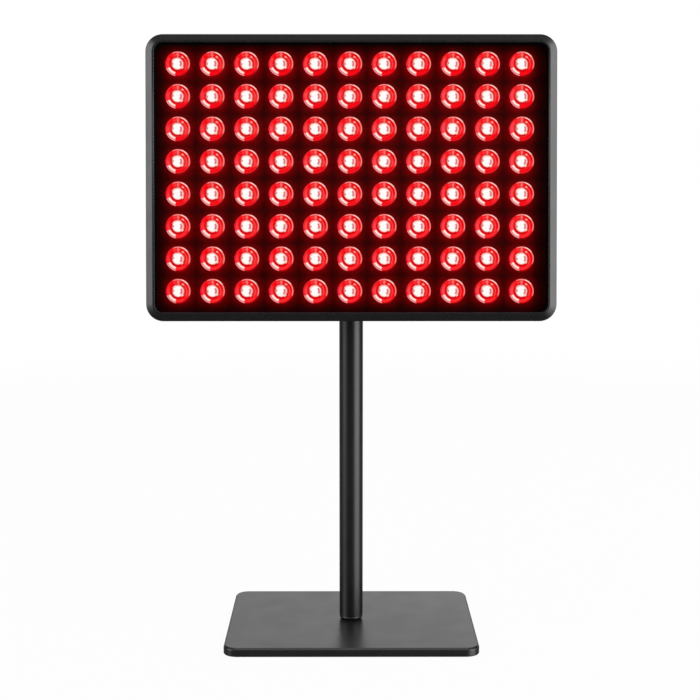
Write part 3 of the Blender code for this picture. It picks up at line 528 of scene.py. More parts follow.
class LensPlane:
    """Places on the panel's front, measured from the nearest lens's centre.

    Attributes:
        distance: the distance from that centre as a share of the lens's radius.
        angle: the angle in radians, anticlockwise from the right, seen from the front.
        depth: the depth behind the bezel's front plane in metres.
        crowd: 1 among the lenses, and less outside the outer ones, where fewer of them shine.
        chance: a number from 0 to 1 that differs from lens to lens.
    """

    def __init__(self, nodes: Wiring, from_frame: bool = False) -> None:
        """Builds the nodes.

        Args:
            nodes: the material's nodes.
            from_frame: True for a CAD node, whose places are in the frame's axes.
        """
        self.nodes = nodes
        here = nodes.here()
        if from_frame:
            mapping = nodes.add("Mapping", vector_type="TEXTURE")
            mapping.inputs["Location"].default_value = PANEL_AXES.to_translation()
            mapping.inputs["Rotation"].default_value = PANEL_AXES.to_euler()
            nodes.feed(mapping.inputs["Vector"], here)
            here = mapping.outputs[0]
        x, self.depth, z = nodes.axes(here)
        across, by_column, column = self.axis(x, GRID_MIDDLE[0], COLUMN_PITCH, COLUMNS)
        up, by_row, row = self.axis(z, GRID_MIDDLE[1], ROW_PITCH, ROWS)
        squares = nodes.math("MULTIPLY_ADD", across, across, nodes.times(up, up))
        self.distance = nodes.math("DIVIDE", nodes.math("SQRT", squares), LENS_RADIUS)
        self.angle = nodes.math("ARCTAN2", up, across)
        self.crowd = nodes.times(by_column, by_row)
        number = nodes.add("TexWhiteNoise", noise_dimensions="1D")
        nodes.feed(number.inputs["W"], nodes.math("MULTIPLY_ADD", row, 17.0, column))
        self.chance = number.outputs["Value"]

    def axis(
        self, whole: Socket, middle: float, pitch: float, count: int
    ) -> tuple[Socket, Socket, Socket]:
        """Reads one axis of the lens grid.

        Args:
            whole: the place along it, from the panel's centre.
            middle: where the grid's middle lies.
            pitch: the lenses' pitch.
            count: how many lenses there are.

        Returns:
            How far it is from the nearest lens, the crowd's share along this axis and the lens's number.
        """
        nodes, last = self.nodes, count - 1
        outer = last / 2 * pitch
        place = nodes.math("SUBTRACT", whole, middle)
        number = nodes.math("ROUND", nodes.math("MULTIPLY_ADD", place, 1 / pitch, last / 2))
        kept = nodes.math("MINIMUM", nodes.most(number, 0.0), float(last))
        off = nodes.math("ADD", nodes.math("MULTIPLY_ADD", kept, -pitch, place), outer)
        crowd = nodes.span(nodes.math("ABSOLUTE", place), outer + 6 * MM, outer + 16 * MM, 1.0, 0.3)
        return off, crowd, kept


class LitLens(Finish):
    """A clear red optic over a lit emitter, with the marks that its rings throw and painted reflections of the
    studio lamps.

    Attributes:
        loose_end: the marks within this share of the radius are the emitter's own, and turn with it; the painted
            lamp reflections lie outside it and hold still.
        loose_turn: how far an emitter may be turned from lens to lens, in radians.
        side_colour: the glow of the optic's side wall.
    """

    loose_end = 0.6
    loose_turn = 0.3
    side_colour = linear(112, 0, 6)

    def dress(self, nodes: Wiring, shader: Node) -> None:
        """Adds the lens's glow, ring by ring and mark by mark, with painted lamp reflections among the marks.

        Args:
            nodes: the material's nodes.
            shader: its Principled node.
        """
        plane = LensPlane(nodes)
        glow = nodes.ramp(plane.distance, LENS_STOPS)
        least = nodes.math("SUBTRACT", plane.angle, self.loose_turn / 2)
        loose = nodes.math("MULTIPLY_ADD", plane.chance, self.loose_turn, least)
        for glint in LENS_MARKS_AND_PAINTED_REFLECTIONS:
            off = nodes.off(plane.distance, glint.radius)
            band = nodes.span(off, glint.half, glint.half + glint.blur, 1.0, 0.0)
            angle = loose if glint.radius < self.loose_end else plane.angle
            turned = nodes.math("SUBTRACT", angle, math.radians(glint.angle))
            aside = nodes.math("ABSOLUTE", nodes.math("WRAP", turned, math.pi, -math.pi))
            spread, end = math.radians(glint.spread), math.radians(glint.spread + glint.fade)
            sector = nodes.span(aside, spread, end, glint.strength, 0.0)
            glow = nodes.mix(nodes.times(band, sector), glow, opaque(glint.colour))
        side = nodes.span(plane.depth, LENS_RIM_DEPTH + 0.6 * MM, LENS_RIM_DEPTH + 3.5 * MM, 0.0, 1.0)
        glow = nodes.mix(side, glow, opaque(self.side_colour))
        nodes.feed(shader.inputs["Emission Color"], glow)
        shader.inputs["Emission Strength"].default_value = 1.0
        tint = nodes.mix(plane.distance, opaque(self.colour, 0.6), opaque(self.colour))
        nodes.feed(shader.inputs["Base Color"], tint)
        shader.inputs["Roughness"].default_value = self.roughness


class LitBoard(Finish):
    """Black solder mask with the lenses' red light painted on it close by."""

    def dress(self, nodes: Wiring, shader: Node) -> None:
        """Adds the painted glow of the lenses' light round each lens, and the mask's faint mottle.

        Args:
            nodes: the material's nodes.
            shader: its Principled node.
        """
        plane = LensPlane(nodes, self.from_frame())
        blotch = nodes.noise(nodes.here(), 5 * MM, 3.0)
        painted_halo = nodes.ramp(nodes.times(plane.distance, 0.4), BOARD_PAINTED_GLOW_STOPS)
        faded = nodes.mix(plane.crowd, opaque(linear(6, 0, 0)), painted_halo)
        dimmed = nodes.mix(nodes.span(blotch, 0.3, 0.7, 0.0, 0.3), faded, opaque(linear(20, 0, 0)))
        nodes.feed(shader.inputs["Emission Color"], dimmed)
        shader.inputs["Emission Strength"].default_value = 1.0
        self.mottle(nodes, shader, blotch, 0.2, 0.05)

    def from_frame(self) -> bool:
        """True for the board's own node, whose place is in the frame's axes."""
        return self.name.endswith("board")


class CircuitBoard(Finish):
    """Green solder mask with the pale lines of its traces."""

    def dress(self, nodes: Wiring, shader: Node) -> None:
        """Adds traces as the borders of square cells.

        Args:
            nodes: the material's nodes.
            shader: its Principled node.
        """
        here = nodes.here()
        cells = nodes.add("TexVoronoi", feature="DISTANCE_TO_EDGE")
        nodes.feed(cells.inputs["Vector"], here)
        cells.inputs["Scale"].default_value = 1.0 / self.grain
        cells.inputs["Randomness"].default_value = 0.35
        trace = nodes.span(cells.outputs["Distance"], 0.04, 0.09, 1.0, 0.0)
        self.mottle(nodes, shader, trace, 0.35, 0.06)
        nodes.feed(shader.inputs["Normal"], nodes.bump(trace, self.relief, 0.6))


SATIN_COAT = PowderCoat(
    "satin_powder_coat", "black_paint", (0.0088, 0.0088, 0.0094), 0.33,
    grain=0.55 * MM, relief=0.006 * MM, specular=0.7,
)
# A lighter copy of the pole's black paint for the base plate: painted light for the extra light that the plate's
# faces catch.
PLATE_COAT_PAINTED_LIGHTER = PowderCoat(
    "plate_powder_coat_painted_lighter", "black_paint", (0.0128, 0.0128, 0.0134), 0.33,
    grain=0.55 * MM, relief=0.006 * MM, specular=0.7,
)
COVER_COAT = PowderCoat(
    "cover_powder_coat", "black_paint_aluminium", (0.0135, 0.0135, 0.0142), 0.42, grain=0.7 * MM
)
BEZEL_PLASTIC = SparkPlastic(
    "bezel_plastic", "black_plastic", (0.0095, 0.0095, 0.0100), 0.28,
    grain=0.45 * MM, relief=0.004 * MM, specular=0.7,
)
# A darker copy of the bezel's plastic that reflects nothing, for the recess's inner walls: painted shade in the
# recess.
RECESS_SHADE_PLASTIC = SparkPlastic(
    "recess_painted_shade_plastic", "black_plastic", (0.004, 0.004, 0.0042), 0.7, grain=0.45 * MM, specular=0.0
)
FINE_PLASTIC = SparkPlastic("fine_plastic", "black_plastic", (0.014, 0.014, 0.0145), 0.42, grain=0.35 * MM)
RED_LENS = LitLens("lit_red_lens", "red_lens", linear(56, 0, 4), 0.14, specular=0.2)
LIT_BOARD = LitBoard(
    "lit_solder_mask_board", "black_solder_mask", (0.003, 0.0003, 0.0003), 0.5, specular=0.03
)
LIT_RAIL = LitBoard("lit_lens_rail", "black_solder_mask", (0.003, 0.0003, 0.0003), 0.45, specular=0.03)
RUBBER = Finish(
    "soft_rubber", "black_rubber", (0.016, 0.016, 0.016), 0.82, grain=0.4 * MM, relief=0.03 * MM
)
BRIGHT_STEEL = TurnedMetal(
    "zinc_plated_steel", "bright_steel", (0.56, 0.56, 0.57), 0.28, 1.0, 0.25 * MM, 0.004 * MM
)
DARK_STEEL = TurnedMetal(
    "oxide_black_steel", "black_oxide_steel", (0.045, 0.045, 0.05), 0.36, 1.0, 0.3 * MM, 0.005 * MM
)
ALUMINIUM = TurnedMetal(
    "extruded_aluminium", "aluminium", (0.62, 0.63, 0.65), 0.40, 1.0, 0.3 * MM, 0.006 * MM
)
GREEN_BOARD = CircuitBoard(
    "green_solder_mask", "green_board", (0.02, 0.16, 0.07), 0.42, grain=4 * MM, relief=0.03 * MM
)
COPPER = CopperWinding(
    "enamelled_copper", "copper_winding", (0.60, 0.27, 0.12), 0.32, 1.0, 0.6 * MM, 0.2 * MM
)
SLEEVE = Finish("wire_sleeve", "black_wire_sleeve", (0.025, 0.025, 0.025), 0.55, grain=0.5 * MM)
WHITE_INK = Finish("white_marking_ink", "black_plastic", (0.75, 0.75, 0.74), 0.55, grain=0.3 * MM)
CAD_FINISHES = {
    "black_paint": SATIN_COAT,
    "black_paint_aluminium": COVER_COAT,
    "black_plastic": FINE_PLASTIC,
    "black_solder_mask": LIT_BOARD,
    "red_lens": RED_LENS,
    "black_rubber": RUBBER,
    "bright_steel": BRIGHT_STEEL,
    "black_oxide_steel": DARK_STEEL,
    "aluminium": ALUMINIUM,
    "green_board": GREEN_BOARD,
    "copper_winding": COPPER,
    "black_wire_sleeve": SLEEVE,
}


# Outlines and meshes


def ring(points: int, radius: float, lobes: int = 0, depth: float = 0.0) -> list[Pair]:
    """The points of a circle, or one point for a radius of 0.

    Args:
        points: how many there are.
        radius: the circle's mean radius.
        lobes: how many waves run round it.
        depth: how high they are, though less near the middle.

    Returns:
        The points, anticlockwise from the right.
    """
    if radius < 1e-7:
        return [(0.0, 0.0)]
    made = []
    for k in range(points):
        a = 2 * math.pi * k / points
        wave = depth * min(1.0, radius / (6 * depth)) * math.cos(lobes * a) if lobes else 0.0
        made.append(((radius + wave) * math.cos(a), (radius + wave) * math.sin(a)))
    return made


def disc(sides: int) -> Outline:
    """Circles of any radius."""
    return lambda radius: ring(sides, radius)


def rounded_rectangle(width: float, height: float, corner: float, steps: int = 14) -> Outline:
    """Rectangles with round corners, drawn in from the full size by an inset.

    Args:
        width: the full width.
        height: the full height.
        corner: the full corner radius.
        steps: how many pieces each corner has.

    Returns:
        The outline, whose size is the inset.
    """

    def outline(inset: float) -> list[Pair]:
        """The rectangle's points.

        Args:
            inset: how far they are drawn in.

        Returns:
            The points, anticlockwise from the lower right corner.
        """
        radius = max(corner - inset, 0.02 * MM)
        across, up = width / 2 - inset - radius, height / 2 - inset - radius
        points = []
        for quarter, (x, z) in enumerate(((1, -1), (1, 1), (-1, 1), (-1, -1))):
            for k in range(steps + 1):
                a = math.pi / 2 * (quarter - 1 + k / steps)
                points.append((x * across + radius * math.cos(a), z * up + radius * math.sin(a)))
        return points

    return outline


def lobed(lobes: int, depth: float, sides: int) -> Outline:
    """Wavy circles of any mean radius, with a grip's lobes."""
    return lambda radius: ring(sides, radius, lobes, depth)


def filleted(corners: Sequence[Triple], steps: int = 5, closed: bool = False) -> list[Pair]:
    """A path with rounded corners.

    Args:
        corners: the path's corners as (a, b, radius). A radius of 0 stays sharp.
        steps: how many pieces each round corner has.
        closed: True where the last corner leads back to the first.

    Returns:
        The path's points.
    """
    points: list[Pair] = []
    count = len(corners)
    for i, (a, b, radius) in enumerate(corners):
        inner = closed or 0 < i < count - 1
        if not inner or radius <= 0:
            points.append((a, b))
            continue
        here = Vector((a, b))
        back = (Vector(corners[i - 1][:2]) - here).normalized()
        onward = (Vector(corners[(i + 1) % count][:2]) - here).normalized()
        half = back.angle(onward) / 2
        centre = here + (back + onward).normalized() * radius / math.sin(half)
        start, end = here + back * radius / math.tan(half), here + onward * radius / math.tan(half)
        for k in range(steps + 1):
            chord = start.lerp(end, k / steps)
            point = centre + (chord - centre).normalized() * radius
            points.append((point.x, point.y))
    return points


class Shape:
    """A mesh in the making."""

    def __init__(self) -> None:
        """Starts with nothing."""
        self.bm = bmesh.new()

    def stack(
        self,
        outline: Outline,
        profile: Sequence[Pair],
        run: Run = Run.UP,
        at: Sequence[float] = ORIGIN,
        around: bool = False,
    ) -> "Shape":
        """Joins outlines along a run with faces, and closes the two ends.

        Args:
            outline: gives the points for a size.
            profile: (size, place along the run) of each outline.
            run: the way that the profile goes.
            at: where the run starts.
            around: True where the last outline leads back to the first, as on a frame or a ring.

        Returns:
            The shape itself.
        """
        place = Vector(at)
        rows = []
        for size, along in profile:
            rows.append([self.bm.verts.new(place + run.point(a, b, along)) for a, b in outline(size)])
        pairs = list(zip(rows, rows[1:]))
        if around:
            pairs.append((rows[-1], rows[0]))
        for low, high in pairs:
            for k in range(max(len(low), len(high))):
                near, far = k % len(low), (k + 1) % len(low)
                corners = [low[near], low[far], high[(k + 1) % len(high)], high[k % len(high)]]
                self.bm.faces.new(list(dict.fromkeys(corners)))
        if not around:
            for row in (rows[0], rows[-1]):
                if len(row) > 2:
                    self.bm.faces.new(row)
        return self

    def turned(
        self,
        corners: Sequence[Triple],
        sides: int,
        steps: int = 5,
        run: Run = Run.UP,
        at: Sequence[float] = ORIGIN,
        around: bool = False,
    ) -> "Shape":
        """Turns a profile with rounded corners, as on a lathe.

        Args:
            corners: the profile's corners as (radius, place along the run, rounding).
            sides: how many sides the turned piece has.
            steps: how many pieces each round corner has.
            run: the way of the axis.
            at: where the run starts.
            around: True for a ring, whose profile comes back to its start.

        Returns:
            The shape itself.
        """
        return self.stack(disc(sides), filleted(corners, steps, around), run, at, around)

    def rod(
        self,
        radius: float,
        low: float,
        high: float,
        sides: int,
        run: Run = Run.UP,
        at: Sequence[float] = ORIGIN,
    ) -> "Shape":
        """Adds a plain round bar from low to high, such as the cutter of a bore."""
        return self.stack(disc(sides), [(radius, low), (radius, high)], run, at)

    def prism(
        self,
        points: Sequence[Pair],
        low: float,
        high: float,
        run: Run = Run.UP,
        at: Sequence[float] = ORIGIN,
    ) -> "Shape":
        """Carries one outline from low to high."""
        return self.stack(lambda _: list(points), [(0.0, low), (0.0, high)], run, at)

    def box(self, size: Sequence[float], at: Sequence[float]) -> "Shape":
        """Adds a box.

        Args:
            size: its size along X, Y and Z.
            at: its centre.

        Returns:
            The shape itself.
        """
        half = (size[0] / 2, size[1] / 2)
        points = [(-half[0], -half[1]), (half[0], -half[1]), (half[0], half[1]), (-half[0], half[1])]
        return self.prism(points, -size[2] / 2, size[2] / 2, Run.UP, at)

    def mesh(self, name: str, sharp: float = 35.0) -> bpy.types.Mesh:
        """The finished mesh.

        Args:
            name: its name.
            sharp: edges that turn by more degrees than this stay sharp.

        Returns:
            The mesh, shaded smooth between its sharp edges.
        """
        bmesh.ops.recalc_face_normals(self.bm, faces=self.bm.faces)
        made = bpy.data.meshes.new(name)
        self.bm.to_mesh(made)
        self.bm.free()
        return shaded(made, sharp)


def shaded(mesh: bpy.types.Mesh, sharp: float) -> bpy.types.Mesh:
    """Shades a mesh smooth, apart from its sharp edges.

    Args:
        mesh: the mesh.
        sharp: edges that turn by more degrees than this are sharp.

    Returns:
        The same mesh.
    """
    mesh.shade_smooth()
    mesh.set_sharp_from_angle(angle=math.radians(sharp))
    return mesh


class Join(str, Enum):
    """What a Boolean does with its tool."""

    CUT = "DIFFERENCE"
    ADD = "UNION"
    MEET = "INTERSECT"


def worked(
    mesh: bpy.types.Mesh,
    tools: Sequence[tuple[Join, bpy.types.Mesh]],
    sharp: float = 35.0,
    edge: float = 0.0,
) -> bpy.types.Mesh:
    """A mesh after Booleans with other meshes, in the same axes.

    Args:
        mesh: the mesh to work on. It is used up.
        tools: the Booleans in order, each with its mesh, which is used up too.
        sharp: edges that turn by more degrees than this stay sharp.
        edge: how far sharp edges are rounded off, or 0.

    Returns:
        The new mesh.
    """
    name = mesh.name
    collection = bpy.context.scene.collection
    made = [bpy.data.objects.new("work", mesh)]
    collection.objects.link(made[0])
    for join, tool in tools:
        other = bpy.data.objects.new("tool", tool)
        collection.objects.link(other)
        made.append(other)
        step = made[0].modifiers.new("join", "BOOLEAN")
        step.operation = join.value
        step.solver = "EXACT"
        step.object = other
    if edge:
        bevel = made[0].modifiers.new("edge", "BEVEL")
        bevel.width = edge
        bevel.segments = 3
        bevel.limit_method = "ANGLE"
        bevel.angle_limit = math.radians(sharp)
        bevel.use_clamp_overlap = True
    bpy.context.view_layer.update()
    graph = bpy.context.evaluated_depsgraph_get()
    result = bpy.data.meshes.new_from_object(made[0].evaluated_get(graph))
    for obj in made:
        bpy.data.objects.remove(obj)
    for used in [mesh, *[tool for _, tool in tools]]:
        bpy.data.meshes.remove(used)
    result.name = name
    return shaded(result, sharp)


def add_piece(
    name: str,
    mesh: bpy.types.Mesh,
    finishes: Sequence[Finish],
    body: Body,
    replaces: Sequence[str] = (),
    axes: Matrix = Matrix.Identity(4),
    flat_faces: bool = True,
) -> bpy.types.Object:
    """Adds one piece of the object.

    Args:
        name: the piece's name.
        mesh: its mesh, in the axes given.
        finishes: its finishes, in the order of the mesh's material numbers.
        body: the body that it rides on.
        replaces: the CAD nodes that it stands for.
        axes: where the piece's own axes lie.
        flat_faces: True keeps the shading of large flat faces even.

    Returns:
        The piece.
    """
    piece = bpy.data.objects.new(name, mesh)
    bpy.context.scene.collection.objects.link(piece)
    piece.matrix_world = axes
    if not mesh.materials:
        for finish in finishes:
            mesh.materials.append(finish.material())
    if flat_faces:
        even = piece.modifiers.new("even_shading", "WEIGHTED_NORMAL")
        even.keep_sharp = True
    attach(piece, body.value)
    if replaces:
        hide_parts(*replaces)
    LOG.info("%s: %d faces, on %s", name, len(mesh.polygons), body.value)
    return piece


# Small hardware


@dataclass(frozen=True)
class SocketScrew:
    """A screw with a hexagon socket, which points down Z from its head's underside at 0.

    Attributes:
        head: (radius, height, edge) of a raised button head, or of a countersunk one whose height
            is below 0.
        shank: the shank's radius.
        length: how far the shank goes down.
        socket: the socket's radius over its corners.
    """

    head: tuple[float, float, float]
    shank: float
    length: float
    socket: float

    def mesh(self, name: str) -> bpy.types.Mesh:
        """Builds the screw with its socket cut.

        Args:
            name: the mesh's name.

        Returns:
            The mesh.
        """
        radius, height, edge = self.head
        top = max(height, 0.0)
        if height > 0:
            head = [
                (0.0, top, 0),
                (radius * 0.72, top, edge),
                (radius, height * 0.45, edge),
                (radius, 0.0, 0.1 * MM),
                (self.shank, 0.0, 0),
            ]
        else:
            rim = top - 0.25 * MM
            head = [(0.0, top, 0), (radius, top, edge), (radius, rim, 0), (self.shank, height, 0)]
        tip = [(self.shank, -self.length, 0.3 * MM), (0.0, -self.length, 0)]
        shape = Shape().turned([*head, *tip], 40, 4)
        floor = top - min(1.8 * self.socket, abs(height) + 0.6 * MM)
        turned = Matrix.Rotation(math.pi / 6, 2)
        corners = [turned @ Vector(point) for point in ring(6, self.socket)]
        socket = Shape().prism([(c.x, c.y) for c in corners], floor, top + PAST)
        dimple = Shape().stack(disc(24), [(0.0, floor - 0.5 * MM), (self.socket * 0.8, floor + 0.2 * MM)])
        tools = [(Join.CUT, socket.mesh("socket")), (Join.CUT, dimple.mesh("dimple"))]
        return worked(shape.mesh(name), tools, 32.0)


def facing(direction: Vector, at: Vector) -> Matrix:
    """The axes of a piece at a place, with its Z along a direction."""
    return Matrix.Translation(at) @ direction.to_track_quat("Z", "Y").to_matrix().to_4x4()


# The stand


@dataclass
class Stand:
    """The flat base plate, its feet and bolt, the pole and the hinge head in its top."""

    width: float = 199.0 * MM
    depth: float = 156.0 * MM
    thickness: float = 7.0 * MM
    low: float = 0.8 * MM
    corner: float = 11.0 * MM
    edge: float = 1.5 * MM
    rim: float = 8.0 * MM
    foot_radius: float = 9.0 * MM
    foot_height: float = 1.5 * MM
    foot_inset: float = 15.0 * MM
    grip_rings: Triple = (7.0 * MM, 5.0 * MM, 3.0 * MM)
    bolt_head: float = 7.6 * MM
    bolt_taper: float = 4.0 * MM
    bolt_length: float = 28.0 * MM
    bolt_rise: float = 0.2 * MM
    bore: float = 8.0 * MM
    pole_drop: float = 18.8 * MM
    set_screw_drop: float = 30.0 * MM
    set_screw_hole: float = 2.3 * MM
    spigot_length: float = 22.0 * MM
    collar_height: float = 2.5 * MM
    neck_depth: float = 14.0 * MM
    eye_radius: float = 10.0 * MM
    eye_width: float = 16.0 * MM

    @property
    def top(self) -> float:
        """The height of the plate's upper face."""
        return self.low + self.thickness

    @property
    def pole_top(self) -> float:
        """The height of the pole's upper end."""
        return HINGE.z - self.pole_drop

    @property
    def set_screw_place(self) -> Triple:
        """Where the set screw's axis crosses the pole's."""
        return 0.0, 0.0, HINGE.z - self.set_screw_drop

    def build(self) -> None:
        """Builds every piece of the stand."""
        self.build_plate()
        self.build_feet()
        self.build_pole()
        self.build_head()

    def build_plate(self) -> None:
        """The steel plate with a rounded edge, foot pockets and the countersunk bolt from below."""
        low, high = self.low, self.top
        corners = [
            (self.rim, low, 0),
            (0.0, low, 0.8 * MM),
            (0.0, high - self.edge, 1.3 * MM),
            (self.edge, high, 0.5 * MM),
            (self.rim, high, 0),
        ]
        plate = Shape().stack(rounded_rectangle(self.width, self.depth, self.corner), filleted(corners, 5))
        pockets = Shape()
        for at in self.foot_places():
            pockets.rod(self.foot_radius + GAP, -2 * PAST, low + PAST, 48, at=at)
        head, seat, neck = self.bolt_head + CLEARANCE, low + self.bolt_rise, low + self.bolt_taper
        section = [(head, -PAST), (head, seat), (BOLT_HOLE, neck), (BOLT_HOLE, high + PAST)]
        hole = Shape().stack(disc(48), section)
        tools = [(Join.CUT, pockets.mesh("pockets")), (Join.CUT, hole.mesh("bolt_hole"))]
        mesh = worked(plate.mesh("base_plate_skin"), tools, 32.0)
        add_piece("steel_base_plate", mesh, [PLATE_COAT_PAINTED_LIGHTER], Body.STAND, ["base_plate"])
        size = (self.bolt_head, -self.bolt_taper, 0.3 * MM)
        bolt = SocketScrew(size, BOLT_RADIUS, self.bolt_length, 2.9 * MM).mesh("base_bolt_skin")
        axes = facing(Vector((0, 0, -1)), Vector((0.0, 0.0, seat)))
        add_piece("countersunk_base_bolt", bolt, [DARK_STEEL], Body.STAND, ["base_bolt"], axes)

    def foot_places(self) -> list[Triple]:
        """The middles of the four feet, on the ground, from the front left one round."""
        across, along = self.width / 2 - self.foot_inset, self.depth / 2 - self.foot_inset
        return [(x * across, y * along, 0.0) for y in (-1, 1) for x in (-1, 1)]

    def build_feet(self) -> None:
        """The rubber feet, each with a rounded edge and three grip rings below."""
        radius, height = self.foot_radius, self.foot_height
        corners = [(0.0, height, 0), (radius, height, 0.2 * MM), (radius, 0.0, 0.5 * MM)]
        for middle in self.grip_rings:
            for side in (1, -1):
                wall = [(middle + side * 0.5 * MM, 0.0, 0), (middle + side * 0.2 * MM, 0.3 * MM, 0)]
                corners += wall[::side]
        corners.append((0.0, 0.0, 0))
        mesh = Shape().turned(corners, 56, 4).mesh("foot_skin")
        names = ("front_left", "front_right", "rear_left", "rear_right")
        for name, at in zip(names, self.foot_places()):
            axes = Matrix.Translation(at)
            add_piece(f"rubber_foot_{name}", mesh, [RUBBER], Body.STAND, [f"foot_{name}"], axes)

    def build_pole(self) -> None:
        """The tube with its rounded foot, and the grub screw hole behind its top."""
        foot, top = self.top + GAP, self.pole_top
        corners = [
            (self.bore, foot, 0.1 * MM),
            (POLE_RADIUS - 1.1 * MM, foot, 0.3 * MM),
            (POLE_RADIUS - 0.1 * MM, foot + 1.5 * MM, 0.8 * MM),
            (POLE_RADIUS - 0.1 * MM, foot + 2.2 * MM, 0.2 * MM),
            (POLE_RADIUS - 0.6 * MM, foot + 2.9 * MM, 0.15 * MM),
            (POLE_RADIUS, foot + 3.3 * MM, 0.2 * MM),
            (POLE_RADIUS, top, 0.35 * MM),
            (self.bore, top, 0.2 * MM),
        ]
        tube = Shape().turned(corners, 96, 6, around=True)
        hole = self.set_screw_hole
        section = [(hole, 4 * MM), (hole, 9.3 * MM), (hole + 0.4 * MM, 9.8 * MM)]
        cutter = Shape().stack(disc(28), section, Run.BACK, self.set_screw_place)
        mesh = worked(tube.mesh("pole_skin"), [(Join.CUT, cutter.mesh("grub_hole"))], 32.0)
        add_piece("tube_pole", mesh, [SATIN_COAT], Body.STAND, ["pole"])

    def build_head(self) -> None:
        """The turned head in the tube's top, with the eye that the pivot bolt goes through."""
        collar, half = self.pole_top + GAP, self.eye_width / 2
        neck_low = collar + self.collar_height
        spigot, spigot_low = self.bore - GAP, self.pole_top - self.spigot_length
        corners = [
            (0.0, spigot_low, 0),
            (spigot, spigot_low, 0.5 * MM),
            (spigot, collar, 0),
            (POLE_RADIUS, collar, 0.2 * MM),
            (POLE_RADIUS, neck_low, 0.6 * MM),
            (0.0, neck_low, 0),
        ]
        head = Shape().turned(corners, 64, 4).mesh("hinge_head_skin")
        size = (self.eye_width - 1 * MM, self.neck_depth, HINGE.z - neck_low + 1 * MM)
        neck = Shape().box(size, (0.0, 0.0, HINGE.z - size[2] / 2))
        eye = Shape().rod(self.eye_radius, -half, half, 64, Run.ACROSS, HINGE)
        bore = Shape().rod(BOLT_HOLE, -half - 5 * PAST, half + 5 * PAST, 40, Run.ACROSS, HINGE)
        seat = Shape().rod(self.set_screw_hole, 3.2 * MM, 11.2 * MM, 28, Run.BACK, self.set_screw_place)
        tools = [(Join.ADD, neck.mesh("neck")), (Join.ADD, eye.mesh("eye"))]
        tools += [(Join.CUT, bore.mesh("bore")), (Join.CUT, seat.mesh("seat"))]
        mesh = worked(head, tools, 35.0, 0.35 * MM)
        add_piece("hinge_knuckle", mesh, [SATIN_COAT], Body.STAND, ["hinge_head"])
        grub = SocketScrew((2.0 * MM, -0.4 * MM, 0.2 * MM), 2.0 * MM, 5.6 * MM, 1.15 * MM).mesh("grub_skin")
        axes = facing(BACKWARD, Vector(self.set_screw_place) + BACKWARD * 9.2 * MM)
        add_piece("grub_screw", grub, [DARK_STEEL], Body.STAND, ["head_set_screw"], axes)


# The panel


@dataclass
class Bezel:
    """The front frame and the six countersunk screws in its skirt."""

    width: float = 6.6 * MM
    slope_depth: float = 2.975 * MM
    slope_width: float = 5.3 * MM
    skirt_end: float = 25.0 * MM
    screw_depth: float = 21.8 * MM
    screw_spread: float = 100.0 * MM
    screw_sink: float = 0.15 * MM
    hole: float = 1.5 * MM
    seat: float = 2.9 * MM

    def build(self) -> None:
        """Sweeps the frame's section round the outline, and sets the screws."""
        corners = [
            (0.0, self.skirt_end, 0.3 * MM),
            (0.0, self.slope_depth, 0.8 * MM),
            (self.slope_width, 0.0, 3.2 * MM),
            (self.width, 0.0, 0.25 * MM),
            (self.width, LEDGE_DEPTH, 0.0),
            (SKIRT_WALL, LEDGE_DEPTH, 0.0),
            (SKIRT_WALL, self.skirt_end, 0.2 * MM),
        ]
        outline = rounded_rectangle(PANEL_WIDTH, PANEL_HEIGHT, PANEL_CORNER, 18)
        sweep = Shape().stack(outline, filleted(corners, 5, closed=True), Run.BACK, around=True)
        holes = self.add_screws()
        mesh = worked(sweep.mesh("bezel_skin"), [(Join.CUT, holes.mesh("skirt_holes"))], 34.0)
        # The recess's inner walls take the darker copy of the plastic: painted shade.
        for face in mesh.polygons:
            outward = face.normal.x * face.center.x + face.normal.z * face.center.z
            if outward < 0 and abs(face.normal.y) < 0.3:
                face.material_index = 1
        finishes = [BEZEL_PLASTIC, RECESS_SHADE_PLASTIC]
        add_piece("bezel_frame", mesh, finishes, Body.PANEL, ["front_bezel"], PANEL_AXES)

    def add_screws(self) -> Shape:
        """Adds the skirt's screws.

        Returns:
            The cutters of their seats.
        """
        size = (2.6 * MM, -1.45 * MM, 0.15 * MM)
        screw = SocketScrew(size, 1.2 * MM, 6.2 * MM, 1.15 * MM).mesh("skirt_screw_skin")
        low, hole, seat = -8 * MM, self.hole, self.seat
        section = [(0.0, low), (hole, low), (hole, -1.6 * MM), (seat, -self.screw_sink), (seat, PAST)]
        section.append((0.0, PAST))
        holes = Shape()
        for name, direction, at in self.screw_places():
            start = len(holes.bm.verts)
            holes.stack(disc(32), section)
            holes.bm.verts.ensure_lookup_table()
            bmesh.ops.transform(holes.bm, matrix=facing(direction, at), verts=holes.bm.verts[start:])
            axes = PANEL_AXES @ facing(direction, at - direction * self.screw_sink)
            add_piece(f"skirt_screw_{name}", screw, [DARK_STEEL], Body.PANEL, [f"side_screw_{name}"], axes)
        return holes

    def screw_places(self) -> list[tuple[str, Vector, Vector]]:
        """Places the skirt's screws.

        Returns:
            The (name, outward direction, place) of each.
        """
        places = []
        for name, x in (("left", -1), ("right", 1)):
            for end, z in (("top", 1), ("bottom", -1)):
                at = Vector((x * self.screw_spread, self.screw_depth, z * PANEL_HEIGHT / 2))
                places.append((f"{end}_{name}", Vector((0, 0, z)), at))
            places.append((name, Vector((x, 0, 0)), Vector((x * PANEL_WIDTH / 2, self.screw_depth, 0.0))))
        return places


